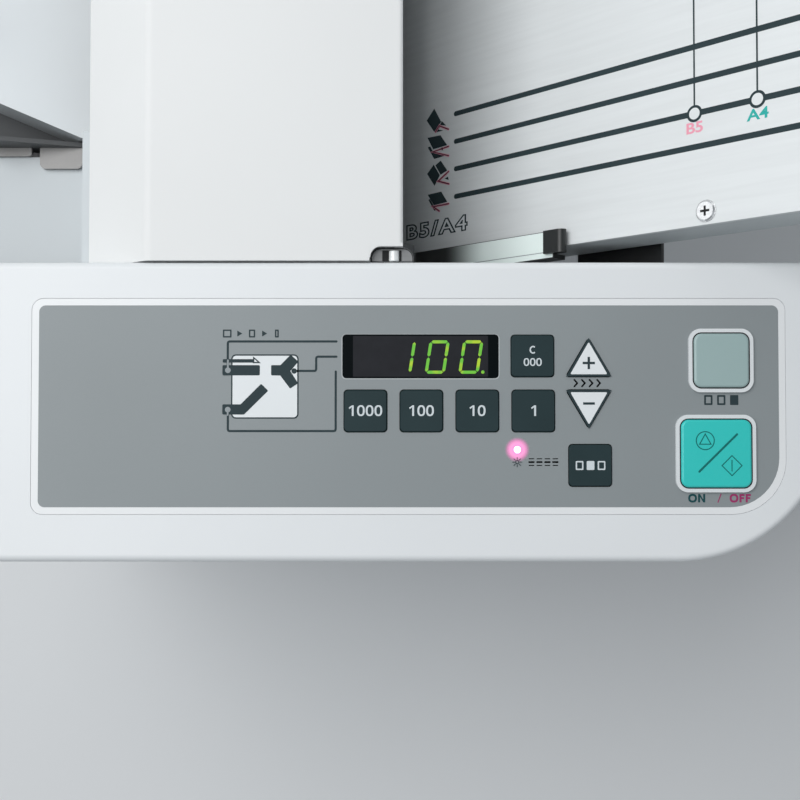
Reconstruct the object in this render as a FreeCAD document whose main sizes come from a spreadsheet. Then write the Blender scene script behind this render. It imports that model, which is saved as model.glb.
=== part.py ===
import FreeCAD, Part
import math
import os
import Sketcher

# Desk-top paper folding machine: friction feed, four fold rollers and two fold plates.
# X runs from the feed table to the first fold plate, Y runs away from the operator, Z is up.
# The origin is the middle of the footprint, on the surface that the feet stand on.

SIZES = {
    # whole machine
    "overall_depth": 524.0,
    "foot_height": 8.0,
    "gap": 0.3,
    "overrun": 20.0,
    "sheet_metal": 1.5,
    "frame_thick": 3.0,
    "paper_offset": 200.0,
    "frame_inside": 406.0,
    # console
    "console_top": 245.0,
    "console_height": 26.0,
    "console_depth": 90.7,
    "console_right": 133.8,
    "console_left": 162.4,
    "console_corner": 47.3,
    "console_round": 2.2,
    "console_small_corner": 4.0,
    "console_wall": 2.7,
    "console_boss_radius": 4.0,
    "console_boss_bore": 1.4,
    # control overlay, in its recess
    "overlay_thick": 0.8,
    "overlay_left": 108.6,
    "overlay_right": 118.9,
    "overlay_front": 76.3,
    "overlay_rear": 11.2,
    "overlay_corner": 3.5,
    "overlay_big_corner": 16.6,
    # keys and buttons
    "key_width": 12.8,
    "key_depth": 12.5,
    "key_corner": 1.2,
    "key_slack": 0.25,
    "key_stand": 0.5,
    "key_travel": 0.4,
    "key_skirt": 6.0,
    "key_stem": 4.0,
    "key_pitch": 16.87,
    "key_first_place": 7.8,
    "number_row": 45.2,
    "clear_key_place": 42.6,
    "clear_key_row": 28.6,
    "mode_key_place": 59.9,
    "mode_key_row": 61.6,
    "arrow_place": 59.5,
    "arrow_width": 13.6,
    "arrow_length": 11.6,
    "arrow_up_row": 34.8,
    "arrow_down_row": 38.9,
    "start_place": 97.6,
    "start_row": 58.0,
    "start_width": 21.2,
    "start_depth": 20.4,
    "test_place": 99.3,
    "test_row": 30.0,
    "test_width": 16.6,
    "test_depth": 16.3,
    "button_corner": 2.4,
    "button_slack": 0.15,
    "button_stand": 1.6,
    "button_travel": 1.5,
    "button_skirt": 9.0,
    "bezel_wall": 1.3,
    "bezel_stand": 0.9,
    "bezel_depth": 5.0,
    # display, indicator lamp and control board
    "window_place": 8.8,
    "window_row": 28.7,
    "window_width": 47.2,
    "window_depth": 13.3,
    "window_thick": 1.0,
    "window_corner": 0.5,
    "module_width": 41.0,
    "lamp_place": 38.0,
    "lamp_row": 56.9,
    "lamp_radius": 1.5,
    "board_drop": 15.0,
    "board_thick": 1.6,
    "board_left": 30.0,
    "board_right": 115.0,
    "board_front": 74.0,
    "board_rear": 12.0,
    "switch_side": 6.0,
    "standoff_radius": 3.0,
    "standoff_inset": 5.0,
    # housings
    "wall": 2.5,
    "housing_left": 157.0,
    "housing_right": 64.0,
    "housing_front": 79.0,
    "housing_corner": 8.0,
    "housing_bottom": 10.5,
    "rear_housing_gap": 0.6,
    "vent_width": 3.0,
    "vent_length": 40.0,
    "vent_pitch": 8.0,
    # base and feet
    "base_lip": 14.0,
    "foot_radius": 14.0,
    "foot_sink": 4.0,
    "foot_inset": 26.0,
    # side frames
    "frame_left": 147.0,
    "frame_right": 56.0,
    "frame_shoulder": 184.0,
    "frame_top": 236.0,
    "frame_top_left": 98.0,
    "frame_top_right": 14.0,
    "wing_reach": 98.0,
    "wing_bottom": 178.0,
    "wing_top": 212.0,
    "wing_root": 140.0,
    "rod_radius": 5.0,
    "rod_low": 30.0,
    # fold rollers
    "roller_radius": 16.0,
    "roller_gap": 0.3,
    "roller_core": 6.5,
    "roller_shoulder": 4.0,
    "journal_radius": 5.0,
    "roller_end_gap": 28.0,
    "centre_x": 15.4,
    "centre_z": 132.0,
    "entry_angle": 90.0,
    "turn_angle": 0.0,
    "exit_angle": -80.0,
    "bush_wall": 3.0,
    "running_gap": 0.05,
    "bush_length": 8.0,
    # gears
    "gear_teeth": 24.0,
    "pinion_teeth": 12.0,
    "gear_width": 9.0,
    "gear_stand": 6.0,
    "gear_backlash": 0.16,
    "pressure_angle": 20.0,
    "idler_direction": 171.0,
    "feed_direction": 136.0,
    "motor_direction": -120.0,
    # feed roller and separation
    "feed_tyre_radius": 14.0,
    "feed_tyre_width": 24.0,
    "feed_tyre_pitch": 50.0,
    "feed_shaft_radius": 4.0,
    "pad_length": 22.0,
    "pad_width": 60.0,
    "pad_thick": 3.0,
    # feed table
    "table_slope": 22.0,
    "table_foot_x": 96.0,
    "table_foot_z": 190.0,
    "table_length": 408.0,
    "table_half_width": 148.9,
    "table_narrow_half": 112.0,
    "table_straight": 14.0,
    "table_taper": 122.0,
    "table_rim": 12.0,
    "table_skin": 2.2,
    "table_corner": 26.0,
    "guide_rest": 105.0,
    "guide_travel": 45.0,
    "guide_length": 150.0,
    "guide_start": 52.0,
    "guide_height": 17.0,
    "guide_foot": 16.0,
    "slot_width": 6.0,
    "bracket_drop": 10.0,
    "tab_overlap": 4.5,
    "bracket_length": 46.0,
    # shoulders
    "shoulder_top": 188.0,
    "shoulder_bottom": 150.0,
    "shoulder_depth": 46.0,
    "shoulder_right": 98.0,
    "shoulder_rise": 222.0,
    # top cover
    "cover_left": 97.0,
    "cover_flat_left": 74.3,
    "cover_right": 3.5,
    "cover_drop": 19.0,
    "cover_skirt": 22.0,
    "cover_gap": 0.4,
    "hinge_x": 14.0,
    "hinge_z": 213.0,
    "hinge_radius": 3.0,
    "hinge_ear": 6.0,
    "notch_width": 10.2,
    "notch_depth": 4.4,
    # clamp levers and their pins
    "clamp_along": 5.0,
    "clamp_above": 6.0,
    "clamp_radius": 2.5,
    "strap_half": 9.0,
    "strap_thick": 2.2,
    "strap_far": 17.8,
    "strap_low": 4.7,
    "strap_high": 3.0,
    "lever_reach": 74.0,
    "lever_thick": 1.5,
    "lever_near": 5.6,
    "lever_far": 14.7,
    "lever_web": 4.5,
    "tab_length": 4.5,
    "tab_thick": 3.2,
    # first fold plate
    "plate_angle": 45.6,
    "plate_length": 360.0,
    "plate_start": 4.0,
    "plate_half_width": 190.2,
    "plate_panel": 2.0,
    "plate_channel": 7.0,
    "plate_zero_z": 158.0,
    "rail_depth": 25.0,
    "rail_width": 8.0,
    "rail_start": 34.0,
    "rail_round": 6.0,
    "stop_place": 250.0,
    "stop_width": 14.0,
    "stop_down": 170.0,
    "stop_up": 90.0,
    "stop_slot_offset": 70.0,
    "knob_radius": 9.0,
    "knob_height": 14.0,
    "plate_screw_place": 133.0,
    "feed_slope": 28.4,
    # second fold plate
    "lower_angle": 32.0,
    "lower_start": 12.0,
    "lower_length": 132.0,
    "lower_panel": 1.5,
    "lower_channel": 4.2,
    "lower_drop": 22.0,
    "lower_rail_depth": 14.0,
    "lower_stop_place": 90.0,
    "lower_stop_down": 40.0,
    "lower_stop_up": 25.0,
    # drive motor
    "motor_radius": 26.0,
    "motor_length": 46.0,
    # exit and stacker
    "exit_x": 130.0,
    "exit_z": 82.0,
    "exit_tyre_radius": 10.0,
    "mouth_bottom": 74.0,
    "mouth_top": 112.0,
    "mouth_half": 165.0,
    "belt_thick": 1.5,
    "belt_width": 5.0,
    "pulley_radius": 8.0,
    "tray_length": 250.0,
    "tray_half_width": 120.0,
    "tray_floor": 14.0,
    "tray_lip": 12.0,
    "arm_rest": 150.0,
    "arm_height": 60.0,
    "arm_in": 60.0,
    "arm_out": 60.0,
    # mains inlet and switch
    "inlet_width": 27.0,
    "inlet_height": 20.0,
    "inlet_depth": 16.0,
    "inlet_place": 110.0,
    "inlet_z": 50.0,
    "inlet_flange": 3.0,
    "rocker_place": 60.0,
    "rocker_width": 13.0,
    "rocker_height": 20.0,
    "rocker_swing": 16.0,
    "rocker_pivot_inset": 1.2,
    "rocker_pivot_radius": 0.8,
    "rocker_pivot_length": 0.9,
    # fasteners
    "screw_radius": 3.3,
    "screw_head": 1.6,
    "screw_shank": 1.7,
}

doc = FreeCAD.newDocument("folding_machine")
sheet = doc.addObject("Spreadsheet::Sheet", "sizes")


class Size:
    """A length, angle or count with the spreadsheet formula that gives it."""

    def __init__(self, value, text):
        self.value = value
        self.text = text

    def __add__(self, other):
        other = as_size(other)
        return Size(self.value + other.value, f"({self.text} + {other.text})")

    def __radd__(self, other):
        return as_size(other) + self

    def __sub__(self, other):
        other = as_size(other)
        return Size(self.value - other.value, f"({self.text} - {other.text})")

    def __rsub__(self, other):
        return as_size(other) - self

    def __mul__(self, other):
        other = as_size(other)
        return Size(self.value * other.value, f"{self.text} * {other.text}")

    def __rmul__(self, other):
        return as_size(other) * self

    def __truediv__(self, other):
        other = as_size(other)
        return Size(self.value / other.value, f"{self.text} / ({other.text})")

    def __rtruediv__(self, other):
        return as_size(other) / self

    def __neg__(self):
        return Size(-self.value, f"(-1 * {self.text})")


def as_size(item):
    if isinstance(item, Size):
        return item
    return Size(float(item), f"({item!r})")


def cosine(angle):
    angle = as_size(angle)
    return Size(math.cos(math.radians(angle.value)), f"cos({angle.text})")


def sine(angle):
    angle = as_size(angle)
    return Size(math.sin(math.radians(angle.value)), f"sin({angle.text})")


def tangent(angle):
    angle = as_size(angle)
    return Size(math.tan(math.radians(angle.value)), f"tan({angle.text})")


def fill_sheet():
    """Writes each size into its cell and returns the sizes by name."""
    named = {}
    for row, (name, value) in enumerate(SIZES.items(), start=1):
        cell = f"B{row}"
        sheet.set(f"A{row}", name)
        sheet.set(cell, str(value))
        sheet.setAlias(cell, name)
        named[name] = Size(value, f"sizes.{name}")
    doc.recompute()
    return named


class Names:
    """Lets a size be read as a plain attribute."""

    def __init__(self, named):
        self.__dict__.update(named)


d = Names(fill_sheet())
NODES = {}


def bind(item, path, size):
    """Ties one property of a document object to its formula."""
    size = as_size(size)
    item.setExpression(path, size.text)


def plane_of(body, role):
    for item in body.Origin.OriginFeatures:
        if item.Role == role:
            return item
    raise ValueError(role)


def new_body(name):
    body = doc.addObject("PartDesign::Body", name)
    body.Label = name
    return body


def keep(name, item):
    """Names a finished sub-part."""
    item.Label = name
    NODES[name] = item
    return item


def place(item, x=0, y=0, z=0, turn=None):
    """Puts a sub-part at a place, turned about the Y axis."""
    if turn is not None:
        start = FreeCAD.Rotation(FreeCAD.Vector(0, 1, 0), 1)
        item.Placement = FreeCAD.Placement(FreeCAD.Vector(0, 0, 0), start)
        bind(item, "Placement.Rotation.Angle", turn)
    for letter, size in zip("xyz", (x, y, z)):
        bind(item, f"Placement.Base.{letter}", size)
    return item


def unit(vector):
    length = math.hypot(*vector)
    return vector[0] / length, vector[1] / length


def corner_arc(before, corner, after, radius):
    """The two ends and the middle of the arc that rounds a corner."""
    one = unit((before[0] - corner[0], before[1] - corner[1]))
    two = unit((after[0] - corner[0], after[1] - corner[1]))
    half = math.acos(max(-1.0, min(1.0, one[0] * two[0] + one[1] * two[1]))) / 2
    away = radius / math.tan(half)
    bisector = unit((one[0] + two[0], one[1] + two[1]))
    reach = radius / math.sin(half)
    first = (corner[0] + one[0] * away, corner[1] + one[1] * away)
    last = (corner[0] + two[0] * away, corner[1] + two[1] * away)
    middle = (corner[0] + bisector[0] * (reach - radius), corner[1] + bisector[1] * (reach - radius))
    return first, middle, last


def vector(point):
    return FreeCAD.Vector(point[0], point[1], 0)


def pin_point(sketch, geometry, end, x, y):
    """Holds one end of a line, or a point, at a formula's place."""
    for kind, size in (("DistanceX", as_size(x)), ("DistanceY", as_size(y))):
        index = sketch.addConstraint(Sketcher.Constraint(kind, -1, 1, geometry, end, size.value))
        bind(sketch, f"Constraints[{index}]", size)


def draw_loop(sketch, corners):
    """Draws a closed outline. A corner is (x, y) or (x, y, radius)."""
    flat = [(as_size(c[0]).value, as_size(c[1]).value) for c in corners]
    radii = [as_size(c[2]) if len(c) > 2 else None for c in corners]
    count = len(corners)
    arcs = []
    for i, radius in enumerate(radii):
        if radius is None:
            arcs.append(None)
        else:
            arcs.append(corner_arc(flat[i - 1], flat[i], flat[(i + 1) % count], radius.value))
    lines = []
    curves = []
    for i in range(count):
        j = (i + 1) % count
        start = arcs[i][2] if arcs[i] else flat[i]
        stop = arcs[j][0] if arcs[j] else flat[j]
        lines.append(sketch.addGeometry(Part.LineSegment(vector(start), vector(stop)), False))
    for i in range(count):
        if arcs[i] is None:
            curves.append(None)
            continue
        first, middle, last = arcs[i]
        curve = Part.Arc(vector(first), vector(middle), vector(last))
        curves.append(sketch.addGeometry(curve, False))
    for i, corner in enumerate(corners):
        before = lines[i - 1]
        after = lines[i]
        if curves[i] is None:
            sketch.addConstraint(Sketcher.Constraint("Coincident", before, 2, after, 1))
            pin_point(sketch, after, 1, corner[0], corner[1])
            continue
        arc = curves[i]
        geometry = sketch.Geometry[arc]
        starts_first = geometry.StartPoint.distanceToPoint(vector(arcs[i][0])) < geometry.Radius / 100
        first_end = 1 if starts_first else 2
        last_end = 3 - first_end
        mark = sketch.addGeometry(Part.Point(vector(flat[i])), True)
        pin_point(sketch, mark, 1, corner[0], corner[1])
        sketch.addConstraint(Sketcher.Constraint("PointOnObject", mark, 1, before))
        sketch.addConstraint(Sketcher.Constraint("PointOnObject", mark, 1, after))
        sketch.addConstraint(Sketcher.Constraint("Tangent", before, 2, arc, first_end))
        sketch.addConstraint(Sketcher.Constraint("Tangent", arc, last_end, after, 1))
        index = sketch.addConstraint(Sketcher.Constraint("Radius", arc, radii[i].value))
        bind(sketch, f"Constraints[{index}]", radii[i])


def draw_circle(sketch, x, y, radius):
    x, y, radius = as_size(x), as_size(y), as_size(radius)
    centre = FreeCAD.Vector(x.value, y.value, 0)
    circle = Part.Circle(centre, FreeCAD.Vector(0, 0, 1), radius.value)
    index = sketch.addGeometry(circle, False)
    pin_point(sketch, index, 3, x, y)
    number = sketch.addConstraint(Sketcher.Constraint("Radius", index, radius.value))
    bind(sketch, f"Constraints[{number}]", radius)


def new_sketch(body, plane, offset, loops=(), circles=()):
    sketch = body.newObject("Sketcher::SketchObject", body.Name + "_sketch")
    sketch.AttachmentSupport = [(plane_of(body, plane + "_Plane"), "")]
    sketch.MapMode = "FlatFace"
    bind(sketch, "AttachmentOffset.Base.z", offset)
    for corners in loops:
        draw_loop(sketch, corners)
    for x, y, radius in circles:
        draw_circle(sketch, x, y, radius)
    return sketch


def pad(body, plane, low, high, loops=(), circles=()):
    """Adds material between two levels along the plane's normal axis."""
    low, high = as_size(low), as_size(high)
    start = -high if plane == "XZ" else low
    sketch = new_sketch(body, plane, start, loops, circles)
    feature = body.newObject("PartDesign::Pad", body.Name + "_pad")
    feature.Profile = sketch
    bind(feature, "Length", high - low)
    doc.recompute()
    return feature


def pocket(body, plane, low, high, loops=(), circles=()):
    """Cuts between two levels along the plane's normal axis."""
    low, high = as_size(low), as_size(high)
    start = -low if plane == "XZ" else high
    sketch = new_sketch(body, plane, start, loops, circles)
    feature = body.newObject("PartDesign::Pocket", body.Name + "_pocket")
    feature.Profile = sketch
    bind(feature, "Length", high - low)
    before = body.Shape.Volume
    doc.recompute()
    if not body.Shape.Volume < before:
        print("pocket cut nothing", body.Name)
    return feature


def spin(body, profile):
    """Revolves an outline of (along Y, radius) points about the Y axis."""
    sketch = new_sketch(body, "YZ", 0, [profile])
    feature = body.newObject("PartDesign::Revolution", body.Name + "_turned")
    feature.Profile = sketch
    feature.ReferenceAxis = (sketch, ["H_Axis"])
    feature.Angle = 360
    doc.recompute()
    return feature


def rectangle(x0, x1, y0, y1, radius=None):
    corners = [(x0, y0), (x1, y0), (x1, y1), (x0, y1)]
    if radius is None:
        return corners
    return [(x, y, radius) for x, y in corners]


def dress_edges(body, chosen, kind, path, amount):
    """Adds one edge feature on the edges for which chosen(edge) is true."""
    tip = body.Tip
    names = [f"Edge{i}" for i, edge in enumerate(tip.Shape.Edges, start=1) if chosen(edge)]
    feature = body.newObject("PartDesign::" + kind, f"{body.Name}_{kind.lower()}")
    feature.Base = (tip, names)
    bind(feature, path, amount)
    doc.recompute()
    return feature


def round_edges(body, chosen, radius):
    return dress_edges(body, chosen, "Fillet", "Radius", radius)


def bevel_edges(body, chosen, size):
    return dress_edges(body, chosen, "Chamfer", "Size", size)


def at_level(level, axis=2):
    """Chooses the edges that lie in one plane across an axis."""
    level = as_size(level).value
    tiny = as_size(d.gap).value / 30

    def chosen(edge):
        box = edge.BoundBox
        low = (box.XMin, box.YMin, box.ZMin)[axis]
        high = (box.XMax, box.YMax, box.ZMax)[axis]
        return abs(low - level) < tiny and abs(high - level) < tiny

    return chosen


def block(name, x0, x1, y0, y1, z0, z1):
    """A plain box between six planes."""
    item = doc.addObject("Part::Box", name)
    for path, low, high in (("Length", x0, x1), ("Width", y0, y1), ("Height", z0, z1)):
        bind(item, path, as_size(high) - as_size(low))
    for letter, low in zip("xyz", (x0, y0, z0)):
        bind(item, f"Placement.Base.{letter}", low)
    return item


def rod(name, radius, x, z, y0, y1):
    """A cylinder along Y."""
    item = doc.addObject("Part::Cylinder", name)
    bind(item, "Radius", radius)
    bind(item, "Height", as_size(y1) - as_size(y0))
    item.Placement.Rotation = FreeCAD.Rotation(FreeCAD.Vector(1, 0, 0), -90)
    for letter, size in zip("xyz", (x, y0, z)):
        bind(item, f"Placement.Base.{letter}", size)
    return item


def post(name, radius, x, y, z0, z1):
    """A cylinder along Z."""
    item = doc.addObject("Part::Cylinder", name)
    bind(item, "Radius", radius)
    bind(item, "Height", as_size(z1) - as_size(z0))
    for letter, size in zip("xyz", (x, y, z0)):
        bind(item, f"Placement.Base.{letter}", size)
    return item


def fuse(name, items):
    item = doc.addObject("Part::MultiFuse", name)
    item.Shapes = items
    return item


def cut(name, base, tools):
    item = doc.addObject("Part::Cut", name)
    item.Base = base
    item.Tool = tools[0] if len(tools) == 1 else fuse(name + "_tools", tools)
    return item


def group(name, items):
    """Several separate solids in one sub-part."""
    item = doc.addObject("Part::Compound", name)
    item.Links = items
    return item


# Where things are. Each sub-part is drawn from the fold line, which is the zero of the first
# plate's scale, and from the console's rear edge, and is then placed there.
plate_reach = d.plate_length * cosine(d.plate_angle) + d.rail_depth * sine(d.plate_angle)
table_reach = d.table_foot_x + d.table_length * cosine(d.table_slope) + d.table_rim * sine(d.table_slope)
fold_x = (table_reach - plate_reach) / 2
console_rear = d.console_depth - d.overall_depth / 2
frame_front_in = d.paper_offset - d.frame_inside / 2
frame_front_out = frame_front_in - d.frame_thick
frame_rear_in = d.paper_offset + d.frame_inside / 2
frame_rear_out = frame_rear_in + d.frame_thick
back_face = d.overall_depth - d.console_depth
console_bottom = d.console_top - d.console_height
floor_top = d.foot_height + d.sheet_metal


def settle(name, item, x=0, y=0, z=0, turn=None):
    """Keeps a sub-part and places it from the fold line and the console's rear edge."""
    if item.TypeId in ("Part::Box", "Part::Cylinder"):
        item = group(name + "_group", [item])
    place(item, fold_x + x, console_rear + y, z, turn)
    return keep(name, item)


def mirror_y(y):
    """The same distance from the paper's middle line, on its other side."""
    return 2 * d.paper_offset - y


# Roller and gear centres, each as (x, z)
pitch = 2 * d.roller_radius + d.roller_gap
gear_pitch_radius = pitch / 2
pinion_pitch_radius = gear_pitch_radius * d.pinion_teeth / d.gear_teeth
mesh_reach = gear_pitch_radius + pinion_pitch_radius


def step(centre, reach, angle):
    return centre[0] + reach * cosine(angle), centre[1] + reach * sine(angle)


centre_2 = (-d.centre_x, d.centre_z)
centre_1 = step(centre_2, pitch, d.entry_angle)
centre_3 = step(centre_2, pitch, d.turn_angle)
centre_4 = step(centre_2, pitch, d.exit_angle)
centre_idler = step(centre_1, mesh_reach, d.idler_direction)
centre_feed = step(centre_idler, mesh_reach, d.feed_direction)
centre_motor = step(centre_4, mesh_reach, d.motor_direction)
centre_exit = (-d.exit_x, d.exit_z)

HALF_TURN = 180


def meshed(phase, teeth, follower_teeth, direction):
    """The angle of a follower's tooth that seats in the gear that drives it."""
    ratio = teeth / follower_teeth
    return direction * (1 + ratio) + HALF_TURN - phase * ratio + HALF_TURN / follower_teeth


phase_2 = as_size(0)
phase_1 = meshed(phase_2, d.gear_teeth, d.gear_teeth, d.entry_angle)
phase_3 = meshed(phase_2, d.gear_teeth, d.gear_teeth, d.turn_angle)
phase_4 = meshed(phase_2, d.gear_teeth, d.gear_teeth, d.exit_angle)
phase_idler = meshed(phase_1, d.gear_teeth, d.pinion_teeth, d.idler_direction)
phase_feed = meshed(phase_idler, d.pinion_teeth, d.gear_teeth, d.feed_direction)
phase_motor = meshed(phase_4, d.gear_teeth, d.pinion_teeth, d.motor_direction)

gear_rear = frame_front_out - d.gear_stand
gear_front = gear_rear - d.gear_width


def make_base():
    """Folded base pan, its four feet."""
    inset = d.wall + d.gap
    left = inset - d.housing_left
    right = d.housing_right - inset
    front = inset - d.housing_front
    rear = back_face - inset
    pan = new_body("base_pan")
    outer = rectangle(left, right, front, rear, d.housing_corner - inset)
    pad(pan, "XY", d.foot_height, d.foot_height + d.base_lip, [outer])
    inner = rectangle(
        left + d.sheet_metal,
        right - d.sheet_metal,
        front + d.sheet_metal,
        rear - d.sheet_metal,
        d.housing_corner - inset - d.sheet_metal,
    )
    pocket(pan, "XY", floor_top, floor_top + d.base_lip, [inner])
    settle("base_pan", pan)
    feet = []
    for x in (left + d.foot_inset, right - d.foot_inset):
        for y in (front + d.foot_inset, rear - d.foot_inset):
            foot = doc.addObject("Part::Cone", "foot")
            bind(foot, "Radius1", d.foot_radius * 0.85)
            bind(foot, "Radius2", d.foot_radius)
            bind(foot, "Height", d.foot_height)
            bind(foot, "Placement.Base.x", x)
            bind(foot, "Placement.Base.y", y)
            dimple = post("foot_dimple", d.foot_radius / 3, x, y, 0, d.foot_sink)
            feet.append(cut("foot_turned", foot, [dimple]))
    settle("rubber_feet", group("foot_group", feet))


def frame_outline():
    return [
        (-d.frame_left, floor_top),
        (d.frame_right, floor_top),
        (d.frame_right, d.wing_root),
        (d.wing_reach, d.wing_bottom, d.housing_corner),
        (d.wing_reach, d.wing_top, d.key_stem),
        (d.frame_top_right, d.wing_top),
        (d.frame_top_right, d.frame_top, d.key_stem),
        (-d.frame_top_left, d.frame_top, d.key_stem),
        (-d.frame_top_left, d.frame_shoulder),
        (-d.frame_left, d.frame_shoulder, d.key_stem),
    ]


clamp_x = d.clamp_along * cosine(d.plate_angle) - d.clamp_above * sine(d.plate_angle)
clamp_z = d.plate_zero_z + d.clamp_along * sine(d.plate_angle) + d.clamp_above * cosine(d.plate_angle)
journal_bush = d.journal_radius + d.running_gap + d.bush_wall
small_bush = d.feed_shaft_radius + d.running_gap + d.bush_wall
ROLLER_CENTRES = (centre_1, centre_2, centre_3, centre_4)
SMALL_CENTRES = (centre_feed, centre_exit)
mouth_2 = step(centre_2, d.lower_drop, (d.turn_angle + d.exit_angle) / 2)
ROD_PLACES = (
    (-d.frame_left + 2 * d.housing_corner, d.rod_low),
    (d.frame_right - 2 * d.housing_corner, d.rod_low),
    (-d.frame_left + 2 * d.housing_corner, d.frame_shoulder - 2 * d.housing_corner),
)


def make_frames():
    """The two steel side plates, with their bearing holes, and the rods that tie them."""
    spans = {
        "front_side_frame": (frame_front_out, frame_front_in),
        "rear_side_frame": (frame_rear_in, frame_rear_out),
    }
    for name, (low, high) in spans.items():
        body = new_body(name)
        pad(body, "XZ", low, high, [frame_outline()])
        holes = [(x, z, journal_bush) for x, z in ROLLER_CENTRES]
        holes += [(x, z, small_bush) for x, z in SMALL_CENTRES]
        holes += [(x, z, d.rod_radius / 2) for x, z in ROD_PLACES]
        holes.append((clamp_x, clamp_z, d.clamp_radius + d.running_gap))
        holes.append((-d.hinge_x, d.hinge_z, d.hinge_radius + d.running_gap))
        if name == "front_side_frame":
            holes.append((centre_idler[0], centre_idler[1], small_bush))
        pocket(body, "XZ", low, high, circles=holes)
        settle(name, body)
    rods = []
    for x, z in ROD_PLACES:
        between = rod("rod_middle", d.rod_radius, x, z, frame_front_in, frame_rear_in)
        through = rod("rod_ends", d.rod_radius / 2, x, z, frame_front_out, frame_rear_out)
        rods.append(fuse("tie_rod", [between, through]))
    settle("frame_tie_rods", group("rod_group", rods))


def ring(name, outer, inner, x, z, low, high):
    outside = rod(name + "_outside", outer, x, z, low, high)
    return cut(name, outside, [rod(name + "_bore", inner, x, z, low, high)])


def make_bushes():
    """Sintered bushes pressed into both side plates."""
    bushes = []
    over = (d.bush_length - d.frame_thick) / 2
    spans = (
        (frame_front_out - over, frame_front_in + over),
        (frame_rear_in - over, frame_rear_out + d.frame_thick / 3),
    )
    for low, high in spans:
        for x, z in ROLLER_CENTRES:
            bushes.append(ring("bush", journal_bush, d.journal_radius + d.running_gap, x, z, low, high))
        for x, z in SMALL_CENTRES:
            bushes.append(ring("bush", small_bush, d.feed_shaft_radius + d.running_gap, x, z, low, high))
    low, high = spans[0]
    bore = d.feed_shaft_radius + d.running_gap
    bushes.append(ring("bush", small_bush, bore, centre_idler[0], centre_idler[1], low, high))
    settle("roller_bearings", group("bush_group", bushes))


def add_gear(body, teeth, pitch_radius):
    """A spur gear in the gear plane, with one tooth on the X axis before it is turned to its phase."""
    module = 2 * pitch_radius / teeth
    tip = pitch_radius + module * 0.95
    root = pitch_radius - module * 1.2
    half = module * (math.pi / 4) - d.gear_backlash / 2
    lean = tangent(d.pressure_angle)
    half_tip = half - module * 0.95 * lean
    half_root = half + module * 0.42 * lean
    pad(body, "XZ", gear_front, gear_rear, circles=[(0, 0, root)])
    inside = root - module
    tooth = [
        (inside, -half_root),
        (root, -half_root),
        (pitch_radius, -half),
        (tip, -half_tip),
        (tip, half_tip),
        (pitch_radius, half),
        (root, half_root),
        (inside, half_root),
    ]
    first = pad(body, "XZ", gear_front, gear_rear, [tooth])
    pattern = body.newObject("PartDesign::PolarPattern", body.Name + "_teeth")
    pattern.Originals = [first]
    for item in body.Origin.OriginFeatures:
        if item.Role == "Y_Axis":
            pattern.Axis = (item, [""])
    pattern.Angle = 360
    bind(pattern, "Occurrences", teeth)
    body.Tip = pattern
    doc.recompute()


shaft_front = gear_front - d.sheet_metal
pulley_front = frame_rear_out + d.frame_thick
pulley_rear = pulley_front + d.belt_width + d.sheet_metal
tyre_front = frame_front_in + d.roller_end_gap
tyre_rear = frame_rear_in - d.roller_end_gap


def make_fold_rollers():
    """Four fold rollers, each with its gear, in mesh with the second one."""
    phases = (phase_1, phase_2, phase_3, phase_4)
    for number, (centre, phase) in enumerate(zip(ROLLER_CENTRES, phases), start=1):
        name = f"fold_roller_{number}"
        body = new_body(name)
        journal = d.journal_radius
        rear_end = frame_rear_out + d.sheet_metal
        profile = [
            (shaft_front, 0),
            (shaft_front, journal),
            (tyre_front - d.roller_shoulder, journal),
            (tyre_front - d.roller_shoulder, d.roller_core),
            (tyre_front, d.roller_core),
            (tyre_front, d.roller_radius),
            (tyre_rear, d.roller_radius),
            (tyre_rear, d.roller_core),
            (tyre_rear + d.roller_shoulder, d.roller_core),
            (tyre_rear + d.roller_shoulder, journal),
        ]
        if number == 4:
            profile += [
                (pulley_front, journal),
                (pulley_front, d.pulley_radius),
                (pulley_rear, d.pulley_radius),
                (pulley_rear, 0),
            ]
        else:
            profile += [(rear_end, journal), (rear_end, 0)]
        spin(body, profile)
        add_gear(body, d.gear_teeth, gear_pitch_radius)
        settle(name, body, centre[0], 0, centre[1], -phase)


def tyre_profile(front, rear, shaft, tyre, middles, half_width):
    """A shaft from front to rear with a tyre round each of its middles."""
    points = [(front, 0), (front, shaft)]
    for middle in middles:
        low = middle - half_width
        high = middle + half_width
        points += [(low, shaft), (low, tyre), (high, tyre), (high, shaft)]
    return points + [(rear, shaft), (rear, 0)]


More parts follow.
